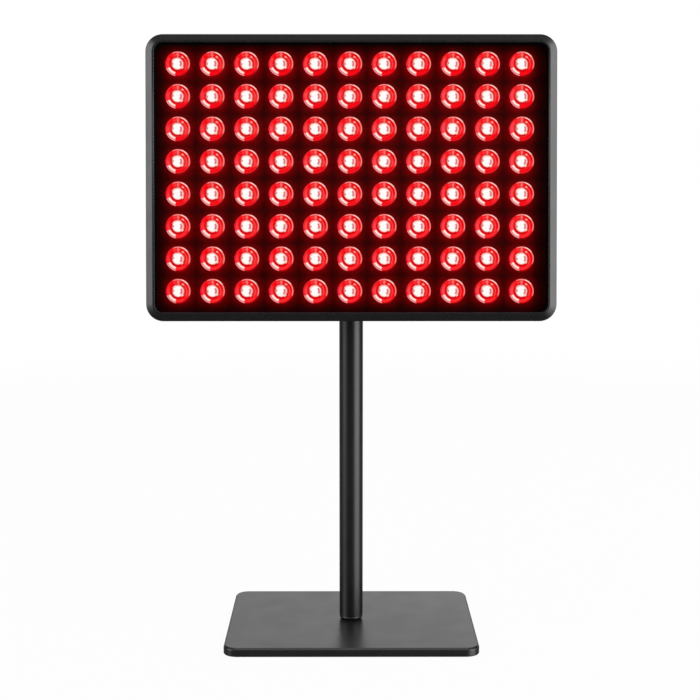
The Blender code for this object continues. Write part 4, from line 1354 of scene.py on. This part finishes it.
@dataclass
class LightField:
    """The rows of lenses, in front of the emitter board that the CAD model gives."""

    base_depth: float = 12.8 * MM
    base_radius: float = 8.6 * MM
    crown: float = 7.2 * MM
    valley: float = 5.45 * MM
    rail_height: float = 2.4 * MM
    rail_depth: float = 1.6 * MM
    sides: int = 56

    def profile(self) -> list[Pair]:
        """Draws one lens from the middle of its back.

        Returns:
            The (radius, depth behind the bezel's front plane) of its points.
        """
        rim = self.base_depth - LENS_RIM_DEPTH
        valley, crown = self.base_depth - self.valley, self.base_depth - self.crown
        corners = [
            (0.0, self.base_depth, 0),
            (self.base_radius, self.base_depth, 0.2 * MM),
            (LENS_RADIUS, rim + 0.5 * MM, 0.35 * MM),
            (LENS_RADIUS - 0.5 * MM, rim, 0.3 * MM),
            (8.4 * MM, rim + 0.1 * MM, 0.4 * MM),
            (6.3 * MM, valley, 1.0 * MM),
            (5.2 * MM, valley + 0.05 * MM, 0.8 * MM),
            (3.9 * MM, crown + 0.65 * MM, 1.6 * MM),
            (2.0 * MM, crown + 0.12 * MM, 3.0 * MM),
            (0.0, crown, 0),
        ]
        return filleted(corners, 3)

    def build(self) -> None:
        """Builds each row of lenses on its rail."""
        profile = self.profile()
        first = GRID_MIDDLE[0] - (COLUMNS - 1) / 2 * COLUMN_PITCH
        size = (COLUMN_PITCH - 2 * self.base_radius + 0.4 * MM, self.rail_depth, self.rail_height)
        for i in range(ROWS):
            height = GRID_MIDDLE[1] + ((ROWS - 1) / 2 - i) * ROW_PITCH
            row = Shape()
            for k in range(COLUMNS):
                row.stack(disc(self.sides), profile, Run.BACK, (first + k * COLUMN_PITCH, 0.0, height))
            lens_faces = len(row.bm.faces)
            for k in range(COLUMNS - 1):
                row.box(size, (first + (k + 0.5) * COLUMN_PITCH, LEDGE_DEPTH - self.rail_depth / 2, height))
            row.bm.faces.ensure_lookup_table()
            for face in row.bm.faces[lens_faces:]:
                face.material_index = 1
            name, node, finishes = f"lens_bar_{i + 1}", f"lens_row_{i + 1}", [RED_LENS, LIT_RAIL]
            mesh = row.mesh(f"{node}_skin", 50.0)
            add_piece(name, mesh, finishes, Body.PANEL, [node], PANEL_AXES, flat_faces=False)


@dataclass
class Fan:
    """A cooling fan behind the vents: the CAD frame stays, and the rotor has curved blades."""

    side: str
    centre: Pair
    body: Body
    hub: float = 12.5 * MM
    tip: float = 27.0 * MM
    front: float = 31.6 * MM
    back: float = 39.1 * MM
    blades: int = 7
    thick: float = 0.8 * MM
    camber: float = 0.9 * MM
    chords: Pair = (10.0 * MM, 15.0 * MM)
    pitches: Pair = (math.radians(44), math.radians(26))
    sweep: float = math.radians(16)

    def build(self) -> None:
        """Builds the rotor with its turned hub and swept blades."""
        corners = [
            (0.0, self.front, 0),
            (self.hub, self.front, 0.3 * MM),
            (self.hub, self.back, 1.2 * MM),
            (0.0, self.back, 0),
        ]
        rotor = Shape().turned(corners, 56, 5, Run.BACK).mesh(f"rotor_{self.side}_skin")
        blades = Shape()
        for i in range(self.blades):
            self.add_blade(blades, 2 * math.pi * i / self.blades)
        mesh = worked(rotor, [(Join.ADD, blades.mesh("blades", 30.0))], 38.0)
        axes = PANEL_AXES @ Matrix.Translation((self.centre[0], 0.0, self.centre[1]))
        add_piece(f"rotor_{self.side}", mesh, [FINE_PLASTIC], self.body, [f"fan_rotor_{self.side}"], axes)

    def add_blade(self, shape: Shape, start: float) -> None:
        """Adds one blade, which sweeps and flattens from its root to its tip.

        Args:
            shape: the shape to add to.
            start: the blade's angle round the hub in radians.
        """
        spans, steps, root = 7, 6, self.hub - 1 * MM
        rows = []
        for i in range(spans + 1):
            share = i / spans
            radius = root + share * (self.tip - root)
            chord = self.chords[0] + share * (self.chords[1] - self.chords[0])
            pitch = self.pitches[0] + share * (self.pitches[1] - self.pitches[0])
            section = []
            for side in (1, -1):
                for k in range(steps + 1):
                    place = (k / steps - 0.5) * side
                    camber = self.camber * (1 - 4 * place * place)
                    lift = side * self.thick / 2 * (1 - (2 * place) ** 4 * 0.8)
                    along, rise = chord * place * math.cos(pitch), chord * place * math.sin(pitch)
                    angle = start + self.sweep * share * share + along / radius
                    depth = (self.front + self.back) / 2 + rise + camber + lift
                    depth = min(max(depth, self.front), self.back)
                    point = (radius * math.cos(angle), depth, radius * math.sin(angle))
                    section.append(shape.bm.verts.new(point))
            rows.append(section)
        for low, high in zip(rows, rows[1:]):
            for k in range(len(low)):
                far = (k + 1) % len(low)
                shape.bm.faces.new((low[k], low[far], high[far], high[k]))
        shape.bm.faces.new(rows[0])
        shape.bm.faces.new(rows[-1])


@dataclass
class RearCover:
    """The tray behind the panel, with the vents over its fans and the screws of the fans."""

    fans: tuple[Fan, Fan]
    inlet: Pair
    switch: Pair
    front: float = 18.3 * MM
    wall: float = 2.0 * MM
    inset: float = 2.5 * MM
    rim: float = 9.0 * MM
    slot: float = 3.2 * MM
    slot_chamfer: float = 0.4 * MM
    pitch: float = 6.2 * MM
    reach: float = 26.5 * MM
    fan_hole: float = 25.0 * MM
    inlet_hole: float = 5.3 * MM
    window: Pair = (13.0 * MM, 19.0 * MM)

    def build(self) -> None:
        """Builds the shell, cuts its openings and adds the fans' screws."""
        inside, back = PANEL_DEPTH - self.wall, PANEL_DEPTH
        corners = [
            (self.rim, inside, 0),
            (self.wall, inside, 1.5 * MM),
            (self.wall, self.front, 0.2 * MM),
            (0.0, self.front, 0.4 * MM),
            (0.0, back, 3.0 * MM),
            (self.rim, back, 0),
        ]
        width, height = PANEL_WIDTH - 2 * self.inset, PANEL_HEIGHT - 2 * self.inset
        outline = rounded_rectangle(width, height, PANEL_CORNER - self.inset, 14)
        shell = Shape().stack(outline, filleted(corners, 6), Run.BACK)
        tools = [(Join.CUT, self.vents().mesh("vents")), (Join.CUT, self.holes().mesh("holes"))]
        mesh = worked(shell.mesh("rear_cover_skin"), tools, 34.0)
        add_piece("back_cover", mesh, [COVER_COAT], Body.PANEL, ["rear_cover"], PANEL_AXES)
        size = (2.9 * MM, 1.7 * MM, 0.5 * MM)
        screw = SocketScrew(size, 1.5 * MM, 10 * MM, 1.2 * MM).mesh("fan_screw_skin")
        for fan in self.fans:
            for i, (x, z) in enumerate([(a, b) for a in (-1, 1) for b in (-1, 1)]):
                across, up = fan.centre[0] + x * self.fan_hole, fan.centre[1] + z * self.fan_hole
                axes = PANEL_AXES @ facing(BACKWARD, Vector((across, back + 0.05 * MM, up)))
                add_piece(f"fan_screw_{fan.side}_{i + 1}", screw, [DARK_STEEL], Body.PANEL, axes=axes)

    def vents(self) -> Shape:
        """Lays out the vents.

        Returns:
            The cutters of the slots, which are chamfered at the outer face.
        """
        back, low, grow = PANEL_DEPTH, PANEL_DEPTH - self.wall - PAST, -self.slot_chamfer
        profile = [(0.0, low), (0.0, back + grow), (grow, back), (grow, back + PAST)]
        cutters = Shape()
        for fan in self.fans:
            for i in range(-4, 5):
                across = i * self.pitch
                length = 2 * math.sqrt(self.reach**2 - across**2)
                at = (fan.centre[0] + across, 0.0, fan.centre[1])
                cutters.stack(self.slot_outline(length), profile, Run.BACK, at)
        return cutters

    def slot_outline(self, length: float) -> Outline:
        """Slots of one length, drawn in by an inset. An inset below 0 makes them larger.

        Args:
            length: the length at an inset of 0.

        Returns:
            The outline, whose size is the inset.
        """

        def outline(inset: float) -> list[Pair]:
            """The slot's points."""
            size = (self.slot - 2 * inset, length - 2 * inset)
            return rounded_rectangle(*size, self.slot / 2 - inset, 8)(0.0)

        return outline

    def holes(self) -> Shape:
        """Lays out the other openings.

        Returns:
            The cutters of the bracket's screw holes, the inlet's hole and the switch's window.
        """
        back, low = PANEL_DEPTH + PAST, PANEL_DEPTH - self.wall - PAST
        cutters = Shape()
        for x, z in TiltBracket.screw_places():
            cutters.rod(TiltBracket.screw_hole, low, back, 28, Run.BACK, (x, 0.0, z))
        cutters.rod(self.inlet_hole, low, back, 48, Run.BACK, (self.inlet[0], 0.0, self.inlet[1]))
        window, at = rounded_rectangle(*self.window, 0.6 * MM, 3), (self.switch[0], 0.0, self.switch[1])
        return cutters.stack(window, [(0.0, low), (0.0, back)], Run.BACK, at)


@dataclass
class TiltBracket:
    """The welded clevis on the panel's back, its screws, washers and pivot bolt."""

    width: float = 60.0 * MM
    height: float = 70.0 * MM
    corner: float = 5.0 * MM
    plate: float = 3.0 * MM
    screw_hole: float = 2.3 * MM
    ear_inner: float = 9.4 * MM
    ear_thick: float = 4.0 * MM
    ear_radius: float = 11.0 * MM
    ear_root: float = 16.0 * MM
    ear_turn: float = 78.0
    washer: float = 9.0 * MM
    washer_half: float = 0.4 * MM
    knuckle_half: float = 8.0 * MM
    bolt_head: float = 5.5 * MM
    bolt_tip: float = 24.0 * MM

    @staticmethod
    def screw_places() -> list[Pair]:
        """The screws' places from the panel's centre."""
        return [(x * 21.0 * MM, z * 27.0 * MM + HINGE_DROP) for x in (-1, 1) for z in (-1, 1)]

    def build(self) -> None:
        """Builds the bracket and its hardware."""
        front = GAP - PANEL_TO_AXIS
        rear = front + self.plate
        outline = rounded_rectangle(self.width, self.height, self.corner, 10)
        plate = Shape().stack(outline, [(0.0, front), (0.0, rear)], Run.BACK)
        turns = [math.radians(self.ear_turn * (k / 12 - 1)) for k in range(25)]
        eye = [(self.ear_radius * math.cos(a), self.ear_radius * math.sin(a)) for a in turns]
        root = rear - self.plate / 2
        ear = [(root, -self.ear_root), *eye, (root, self.ear_root)]
        tools = []
        for side in (-1, 1):
            low, high = sorted((side * self.ear_inner, side * (self.ear_inner + self.ear_thick)))
            tools.append((Join.ADD, Shape().prism(ear, low, high, Run.ACROSS).mesh("ear")))
        bore = Shape().rod(BOLT_HOLE, -20 * PAST, 20 * PAST, 40, Run.ACROSS)
        tools.append((Join.CUT, bore.mesh("bore")))
        holes = Shape()
        for x, z in self.screw_places():
            holes.rod(self.screw_hole, front - PAST, rear + PAST, 28, Run.BACK, (x, 0.0, z - HINGE_DROP))
        tools.append((Join.CUT, holes.mesh("holes")))
        mesh = worked(plate.mesh("tilt_bracket_skin"), tools, 38.0, 0.45 * MM)
        add_piece("clevis_bracket", mesh, [SATIN_COAT], Body.PANEL, ["tilt_bracket"], HINGE_AXES)
        self.build_screws()
        self.build_washers()
        self.build_bolt()

    def build_screws(self) -> None:
        """The four button-head screws."""
        head_low = PANEL_DEPTH + 2 * GAP + self.plate
        size = (3.5 * MM, 2.4 * MM, 0.7 * MM)
        screw = SocketScrew(size, 2.0 * MM, head_low - 36 * MM, 1.45 * MM).mesh("bracket_screw_skin")
        for i, (x, z) in enumerate(self.screw_places()):
            axes = PANEL_AXES @ facing(BACKWARD, Vector((x, head_low, z)))
            node = f"bracket_screw_{i + 1}"
            add_piece(f"button_screw_{i + 1}", screw, [DARK_STEEL], Body.PANEL, [node], axes)

    def build_washers(self) -> None:
        """The two friction washers between the ears and the knuckle."""
        half = self.washer_half
        corners = [
            (BOLT_HOLE, -half, 0),
            (self.washer, -half, 0.15 * MM),
            (self.washer, half, 0.15 * MM),
            (BOLT_HOLE, half, 0),
        ]
        washer = Shape().turned(corners, 56, 3, Run.ACROSS, around=True).mesh("washer_skin")
        for side, x in (("left", -1), ("right", 1)):
            axes = HINGE_AXES @ Matrix.Translation((x * (self.knuckle_half + GAP + half), 0.0, 0.0))
            node = f"friction_washer_{side}"
            add_piece(f"washer_{side}", washer, [BRIGHT_STEEL], Body.PANEL, [node], axes)

    def build_bolt(self) -> None:
        """The pivot bolt, whose hexagon head is chamfered at its outer end."""
        under, tip = -self.ear_inner - self.ear_thick - GAP, self.bolt_tip
        end = under - self.bolt_head
        corners = [
            (0.0, tip, 0),
            (BOLT_RADIUS, tip, 0.6 * MM),
            (BOLT_RADIUS, under - PAST, 0),
            (0.0, under - PAST, 0),
        ]
        shank = Shape().turned(corners, 40, 4, Run.ACROSS)
        hexagon = Shape().prism(ring(6, 7.5 * MM), end, under, Run.ACROSS)
        corners = [
            (0.0, under, 0),
            (7.6 * MM, under, 0),
            (7.6 * MM, end + 0.9 * MM, 0),
            (6.2 * MM, end, 0),
            (0.0, end, 0),
        ]
        blank = Shape().turned(corners, 64, run=Run.ACROSS)
        head = worked(hexagon.mesh("pivot_bolt_skin", 25.0), [(Join.MEET, blank.mesh("blank"))], 25.0)
        bolt = worked(head, [(Join.ADD, shank.mesh("shank"))], 25.0)
        add_piece("hex_pivot_bolt", bolt, [DARK_STEEL], Body.PANEL, ["pivot_bolt"], HINGE_AXES)


@dataclass
class HandKnob:
    """The lobed knob that clamps the hinge."""

    start: float = 14.0 * MM
    hub: float = 8.0 * MM
    hub_end: float = 17.0 * MM
    end: float = 27.0 * MM
    radius: float = 13.4 * MM
    lobe: float = 1.6 * MM
    dish: float = 0.9 * MM
    bore_end: float = 24.6 * MM

    def build(self) -> None:
        """Builds the hub, the grip with its rounded edges and the dished end."""
        radius, start, inner = self.radius, self.start, self.hub_end + 1 * MM
        corners = [
            (0.0, self.hub_end, 0),
            (radius, self.hub_end, 1.0 * MM),
            (radius, self.end - 0.4 * MM, 1.6 * MM),
            (radius - 5.0 * MM, self.end, 1.5 * MM),
            (radius - 6.2 * MM, self.end - self.dish, 0.8 * MM),
            (0.0, self.end - self.dish, 0),
        ]
        grip = Shape().stack(lobed(6, self.lobe, 144), filleted(corners, 5), Run.ACROSS)
        corners = [(0.0, start, 0), (self.hub, start, 0.4 * MM), (self.hub, inner, 0), (0.0, inner, 0)]
        hub = Shape().turned(corners, 56, 4, Run.ACROSS)
        bore = Shape().rod(BOLT_HOLE, start - 5 * PAST, self.bore_end, 40, Run.ACROSS)
        tools = [(Join.ADD, hub.mesh("hub")), (Join.CUT, bore.mesh("bore"))]
        mesh = worked(grip.mesh("knob_skin"), tools, 34.0)
        add_piece("hand_knob", mesh, [FINE_PLASTIC], Body.KNOB, ["tilt_knob"], HINGE_AXES)


@dataclass
class PowerInlet:
    """The low-voltage socket: a flanged plastic barrel round a bright centre pin."""

    centre: Pair
    bore: float = 2.9 * MM
    flange: float = 6.8 * MM
    barrel: float = 4.9 * MM
    proud: float = 1.8 * MM
    end: float = -13.0 * MM
    floor: float = -8.5 * MM
    pin: float = 0.9 * MM

    def build(self) -> None:
        """Builds the barrel and its pin."""
        axes = PANEL_AXES @ facing(BACKWARD, Vector((self.centre[0], PANEL_DEPTH, self.centre[1])))
        corners = [
            (0.0, self.floor, 0),
            (self.bore, self.floor, 0.2 * MM),
            (self.bore, self.proud, 0.35 * MM),
            (self.flange, self.proud, 0.6 * MM),
            (self.flange, GAP, 0.1 * MM),
            (self.barrel, GAP, 0),
            (self.barrel, self.end, 0.4 * MM),
            (0.0, self.end, 0),
        ]
        barrel = Shape().turned(corners, 56).mesh("inlet_skin")
        add_piece("inlet_barrel", barrel, [FINE_PLASTIC], Body.PANEL, ["power_inlet"], axes)
        root = self.floor - 0.5 * MM
        corners = [(0.0, root, 0), (self.pin, root, 0), (self.pin, 0.2 * MM, 0.4 * MM), (0.0, 0.6 * MM, 0)]
        pin = Shape().turned(corners, 28).mesh("pin_skin")
        add_piece("inlet_pin", pin, [BRIGHT_STEEL], Body.PANEL, axes=axes)


@dataclass
class PowerSwitch:
    """The snap-in rocker switch, with plain on and off marks on its rocker."""

    centre: Pair
    flange: Triple = (15.4 * MM, 21.4 * MM, 2.0 * MM)
    body: Pair = (12.4 * MM, 18.4 * MM)
    body_front: float = 29.0 * MM
    well: Pair = (10.4 * MM, 16.0 * MM)
    well_floor: float = 36.6 * MM
    pivot_depth: float = 42.6 * MM
    tilt: float = math.radians(8.0)
    half: float = 7.2 * MM
    width: float = 9.8 * MM
    face: float = 1.2 * MM
    dip: float = 1.4 * MM
    mark_place: float = 4.3 * MM
    mark_thick: float = 0.12 * MM

    def build(self) -> None:
        """Builds the housing, the rocker and its two marks."""
        low, inner = PANEL_DEPTH + GAP, 3 * MM
        high = low + self.flange[2]
        corners = [(inner, low, 0), (0.0, low, 0.15 * MM), (0.0, high, 0.7 * MM), (inner, high, 0)]
        outline = rounded_rectangle(*self.flange[:2], 1.2 * MM, 5)
        flange = Shape().stack(outline, filleted(corners, 5), Run.BACK)
        front, rear = self.body_front, low + 1 * MM
        body = Shape().box((self.body[0], rear - front, self.body[1]), (0.0, (front + rear) / 2, 0.0))
        grow = -0.3 * MM
        section = [(0.0, self.well_floor), (0.0, high + grow), (grow, high + 0.1 * MM), (grow, high + PAST)]
        well = Shape().stack(rounded_rectangle(*self.well, 0.4 * MM, 3), section, Run.BACK)
        tools = [(Join.ADD, body.mesh("body")), (Join.CUT, well.mesh("well"))]
        mesh = worked(flange.mesh("switch_skin"), tools, 34.0)
        x, z = self.centre
        axes = PANEL_AXES @ Matrix.Translation((x, 0.0, z))
        add_piece("switch_surround", mesh, [FINE_PLASTIC], Body.PANEL, ["switch_housing"], axes)
        tilted = PANEL_AXES @ Matrix.Translation((x, self.pivot_depth, z))
        tilted = tilted @ Matrix.Rotation(self.tilt, 4, "X")
        add_piece("rocker", self.rocker(), [FINE_PLASTIC], Body.ROCKER, ["switch_rocker"], tilted)
        self.add_marks(tilted)

    def face_depth(self, along: float) -> float:
        """How far back of the pivot the rocker's face lies, at a place along it."""
        return self.face + self.dip * (along / self.half) ** 2

    def rocker(self) -> bpy.types.Mesh:
        """Builds the rocker, a bar along Z whose face dips in the middle.

        Returns:
            The mesh, with the pivot at its origin.
        """
        base, foot, steps = -2.2 * MM, self.half - 0.8 * MM, 16
        places = [self.half * (1 - 2 * k / steps) for k in range(steps + 1)]
        outline = [(self.face_depth(z), z) for z in places]
        outline += [(base, -foot), (base, foot)]
        shape = Shape().prism(outline, -self.width / 2, self.width / 2, Run.ACROSS)
        return worked(shape.mesh("rocker_skin"), [], 38.0, 0.35 * MM)

    def add_marks(self, axes: Matrix) -> None:
        """Adds the bar for on above and the ring for off below, laid on the rocker's face.

        Args:
            axes: the rocker's axes.
        """
        low, high, place = -0.2 * MM, self.mark_thick, self.mark_place
        slope = math.atan(2 * self.dip * place / self.half**2)
        outline = rounded_rectangle(0.55 * MM, 3.0 * MM, 0.2 * MM, 3)
        bar = Shape().stack(outline, [(0.0, low), (0.0, high)], Run.BACK)
        inner, outer = 1.1 * MM, 1.55 * MM
        section = [(inner, low), (outer, low), (outer, high), (inner, high)]
        circle = Shape().stack(disc(36), section, Run.BACK, around=True)
        for name, shape, side in (("on_mark", bar, 1), ("off_mark", circle, -1)):
            lie = Matrix.Translation((0.0, self.face_depth(place), side * place))
            lie = lie @ Matrix.Rotation(-side * slope, 4, "X")
            add_piece(name, shape.mesh(f"{name}_skin"), [WHITE_INK], Body.ROCKER, axes=axes @ lie)


def dress_cad_nodes() -> None:
    """Gives each CAD node that still shows its finish."""
    slots = {part["node"]: part["material_slot"] for part in frame["record"]["subparts"]}
    for name, node in frame["nodes"].items():
        if node.hide_render:
            continue
        finish = CAD_FINISHES[slots[name]]
        node.data.materials.clear()
        node.data.materials.append(finish.material())
        LOG.info("%s: CAD node in %s", name, finish.name)


# Studio


@dataclass(frozen=True)
class AreaLamp:
    """A large soft lamp.

    Attributes:
        name: its name.
        place: where its middle is.
        aim: what it faces.
        size: its width and height.
        radiance: how bright its face is, where white is 1.
        mirrored: True where it shows in mirrored light alone, and False where it gives diffuse light alone.
    """

    name: str
    place: Triple
    aim: Triple
    size: Pair
    radiance: float
    mirrored: bool = False

    def build(self) -> None:
        """Adds the lamp."""
        data = bpy.data.lights.new(self.name, "AREA")
        data.shape = "RECTANGLE"
        data.size, data.size_y = self.size
        data.energy = self.radiance * math.pi * self.size[0] * self.size[1]
        lamp = bpy.data.objects.new(self.name, data)
        bpy.context.scene.collection.objects.link(lamp)
        lamp.location = self.place
        lamp.rotation_euler = (Vector(self.aim) - lamp.location).to_track_quat("-Z", "Y").to_euler()
        lamp.visible_camera = False
        lamp.visible_glossy = self.mirrored
        lamp.visible_diffuse = not self.mirrored


@dataclass(frozen=True)
class LampImage:
    """How a soft lamp shows in mirrored light, by the direction that it stands in.

    Attributes:
        turn: how many degrees it stands to the right of the way to the viewer.
        core: how many degrees from its middle it stays bright.
        end: how many degrees from its middle it ends.
        bright: its brightness above the horizon, where white is 1.
        below: the share of it just below the horizon.
        lowest: the share of that which is left well below the horizon.
    """

    turn: float
    core: float
    end: float
    bright: float
    below: float
    lowest: float

    def wire(self, nodes: Wiring, turn: Socket, height: Socket) -> Socket:
        """The lamp's brightness in a mirrored direction.

        Args:
            nodes: the nodes to add to.
            turn: the direction's angle to the right of the way to the viewer, in radians.
            height: the direction's rise, from -1 to 1.

        Returns:
            The brightness.
        """
        level = nodes.span(height, -0.05, 0.12, self.bright * self.below, self.bright)
        level = nodes.times(level, nodes.span(height, -0.36, -0.06, self.lowest, 1.0))
        off = nodes.off(turn, math.radians(self.turn))
        return nodes.span(off, math.radians(self.core), math.radians(self.end), level, 0.0)


@dataclass
class Studio:
    """The floor, the light and the camera at the photograph's angle."""

    eye: Triple = (-4.2 * MM, -1195.9 * MM, 383.1 * MM)
    pitch: float = math.radians(7.303)
    yaw: float = math.radians(0.158)
    focal: float = 1500.0
    frame_width: float = 700.0
    floor_width: float = 12.0
    lamp_distance: float = 1.3
    left_lamp: LampImage = LampImage(-68.0, 6.0, 32.0, 3.3, 0.38, 0.2)
    right_lamp: LampImage = LampImage(60.0, 14.0, 36.0, 3.6, 1.02, 0.4)
    diffuse_level: float = 0.35
    dark: float = 0.07

    def build(self) -> None:
        """Sets the colour handling and adds the floor, world, lamps and camera."""
        bpy.context.scene.view_settings.view_transform = "Standard"
        self.build_floor()
        self.build_world()
        self.build_lamps()
        self.build_camera()

    def build_floor(self) -> None:
        """A wide pale floor, white to the camera but for the object's shadow."""
        mesh = Shape().box((self.floor_width, self.floor_width, 0.02), (0.0, 0.0, -0.01)).mesh("floor")
        floor = bpy.data.objects.new("studio_floor", mesh)
        bpy.context.scene.collection.objects.link(floor)
        material = bpy.data.materials.new("pale_floor")
        material.use_nodes = True
        material.node_tree.nodes.clear()
        nodes = Wiring(material.node_tree)
        pale = nodes.add("BsdfDiffuse")
        pale.inputs["Color"].default_value = (0.85, 0.85, 0.85, 1.0)
        x, y, _ = nodes.axes(nodes.here())
        square = nodes.math("MULTIPLY_ADD", y, y, nodes.times(x, x))
        path = nodes.add("LightPath").outputs
        seen = nodes.most(path["Is Camera Ray"], path["Is Transmission Ray"])
        blend = nodes.add("MixShader")
        nodes.feed(blend.inputs[0], nodes.times(seen, nodes.span(square, 0.5, 4.0, 0.96, 1.0)))
        nodes.feed(blend.inputs[1], pale.outputs[0])
        nodes.feed(blend.inputs[2], nodes.add("Emission").outputs[0])
        nodes.feed(nodes.add("OutputMaterial").inputs["Surface"], blend.outputs[0])
        floor.visible_glossy = False
        mesh.materials.append(material)

    def build_world(self) -> None:
        """White to the camera, an even grey for diffuse light, and the lit studio in mirrored light."""
        world = bpy.data.worlds.new("studio")
        bpy.context.scene.world = world
        world.use_nodes = True
        world.node_tree.nodes.clear()
        nodes = Wiring(world.node_tree)
        path = nodes.add("LightPath").outputs
        soft = nodes.math("SUBTRACT", 1.0, path["Is Glossy Ray"])
        shown = nodes.times(path["Is Glossy Ray"], self.mirrored(nodes))
        lit = nodes.math("MULTIPLY_ADD", soft, self.diffuse_level, shown)
        seen = nodes.most(path["Is Camera Ray"], path["Is Transmission Ray"])
        background = nodes.add("Background")
        background.inputs["Color"].default_value = (1.0, 1.0, 1.0, 1.0)
        nodes.feed(background.inputs["Strength"], nodes.most(seen, lit))
        nodes.feed(nodes.add("OutputWorld").inputs["Surface"], background.outputs[0])

    def mirrored(self, nodes: Wiring) -> Socket:
        """How bright the studio is in a mirrored direction, where white is 1.

        Args:
            nodes: the world's nodes. X is to the viewer's right, Y away from the viewer and Z up.

        Returns:
            The brightest of the white sweep behind, the floor behind, the ceiling, the lamp overhead and
            the lamps on both sides.
        """
        x, y, z = nodes.axes(nodes.add("TexCoord").outputs["Generated"])
        bright = nodes.span(x, -0.12, 0.12, 0.915, 1.06)
        sweep = nodes.times(nodes.span(y, 0.75, 0.96, 0.08, bright), nodes.span(z, -0.03, 0.03, 0.13, 1.0))
        ground = nodes.times(
            nodes.span(z, -0.6, -0.28, 0.45, 0.2),
            nodes.span(z, -0.1, 0.0, 1.0, 0.0),
            nodes.span(y, 0.2, 0.7, 0.0, 1.0),
        )
        ceiling = nodes.span(z, 0.45, 0.95, 0.0, 0.28)
        overhead = nodes.span(nodes.math("MULTIPLY_ADD", y, 0.6, z), 0.88, 1.12, 0.0, 0.8)
        turn = nodes.math("ARCTAN2", x, nodes.times(y, -1.0))
        images = [lamp.wire(nodes, turn, z) for lamp in (self.left_lamp, self.right_lamp)]
        lamps = nodes.times(
            nodes.most(*images), nodes.span(z, 0.5, 0.8, 1.0, 0.0), nodes.span(z, -0.65, -0.4, 0.0, 1.0)
        )
        return nodes.most(sweep, self.dark, ground, ceiling, overhead, lamps)

    def build_lamps(self) -> None:
        """Adds the lamps round the object, and the one above and in front that only shows mirrored."""
        around = (
            ("lamp_left", self.left_lamp.turn, 3.0, 0.9, 0.75),
            ("lamp_right", self.right_lamp.turn, 3.0, 1.3, 0.55),
            ("lamp_behind_left", -155.0, 1.8, 0.9, 0.95),
            ("lamp_behind_right", 140.0, 1.6, 0.9, 0.95),
        )
        for name, turn, radiance, width, height in around:
            x, y = math.sin(math.radians(turn)), -math.cos(math.radians(turn))
            place = (self.lamp_distance * x, self.lamp_distance * y, height)
            AreaLamp(name, place, (0.0, 0.0, height), (width, width), radiance).build()
        AreaLamp("lamp_above", (0.0, -0.222, 0.44), (0.0, -0.08, 0.0), (0.5, 0.12), 1.3, True).build()

    def build_camera(self) -> None:
        """The camera that the photograph was taken with, as fitted to its edges."""
        data = bpy.data.cameras.new("camera")
        data.sensor_width = 36.0
        data.lens = data.sensor_width * self.focal / self.frame_width
        camera = bpy.data.objects.new("camera", data)
        bpy.context.scene.collection.objects.link(camera)
        camera.location = self.eye
        camera.rotation_euler = (math.pi / 2 - self.pitch, 0.0, -self.yaw)
        bpy.context.scene.camera = camera


def main() -> None:
    """Builds the studio and then each sub-assembly."""
    logging.basicConfig(level=logging.INFO, format="%(message)s")
    inlet, switch = (102.0 * MM, -78.0 * MM), (70.0 * MM, -78.0 * MM)
    fans = (
        Fan("left", (-88.0 * MM, 14.0 * MM), Body.FAN_LEFT),
        Fan("right", (88.0 * MM, 14.0 * MM), Body.FAN_RIGHT),
    )
    Studio().build()
    Stand().build()
    Bezel().build()
    LightField().build()
    RearCover(fans, inlet, switch).build()
    for fan in fans:
        fan.build()
    TiltBracket().build()
    HandKnob().build()
    PowerInlet(inlet).build()
    PowerSwitch(switch).build()
    dress_cad_nodes()


if __name__ == "__main__":
    main()
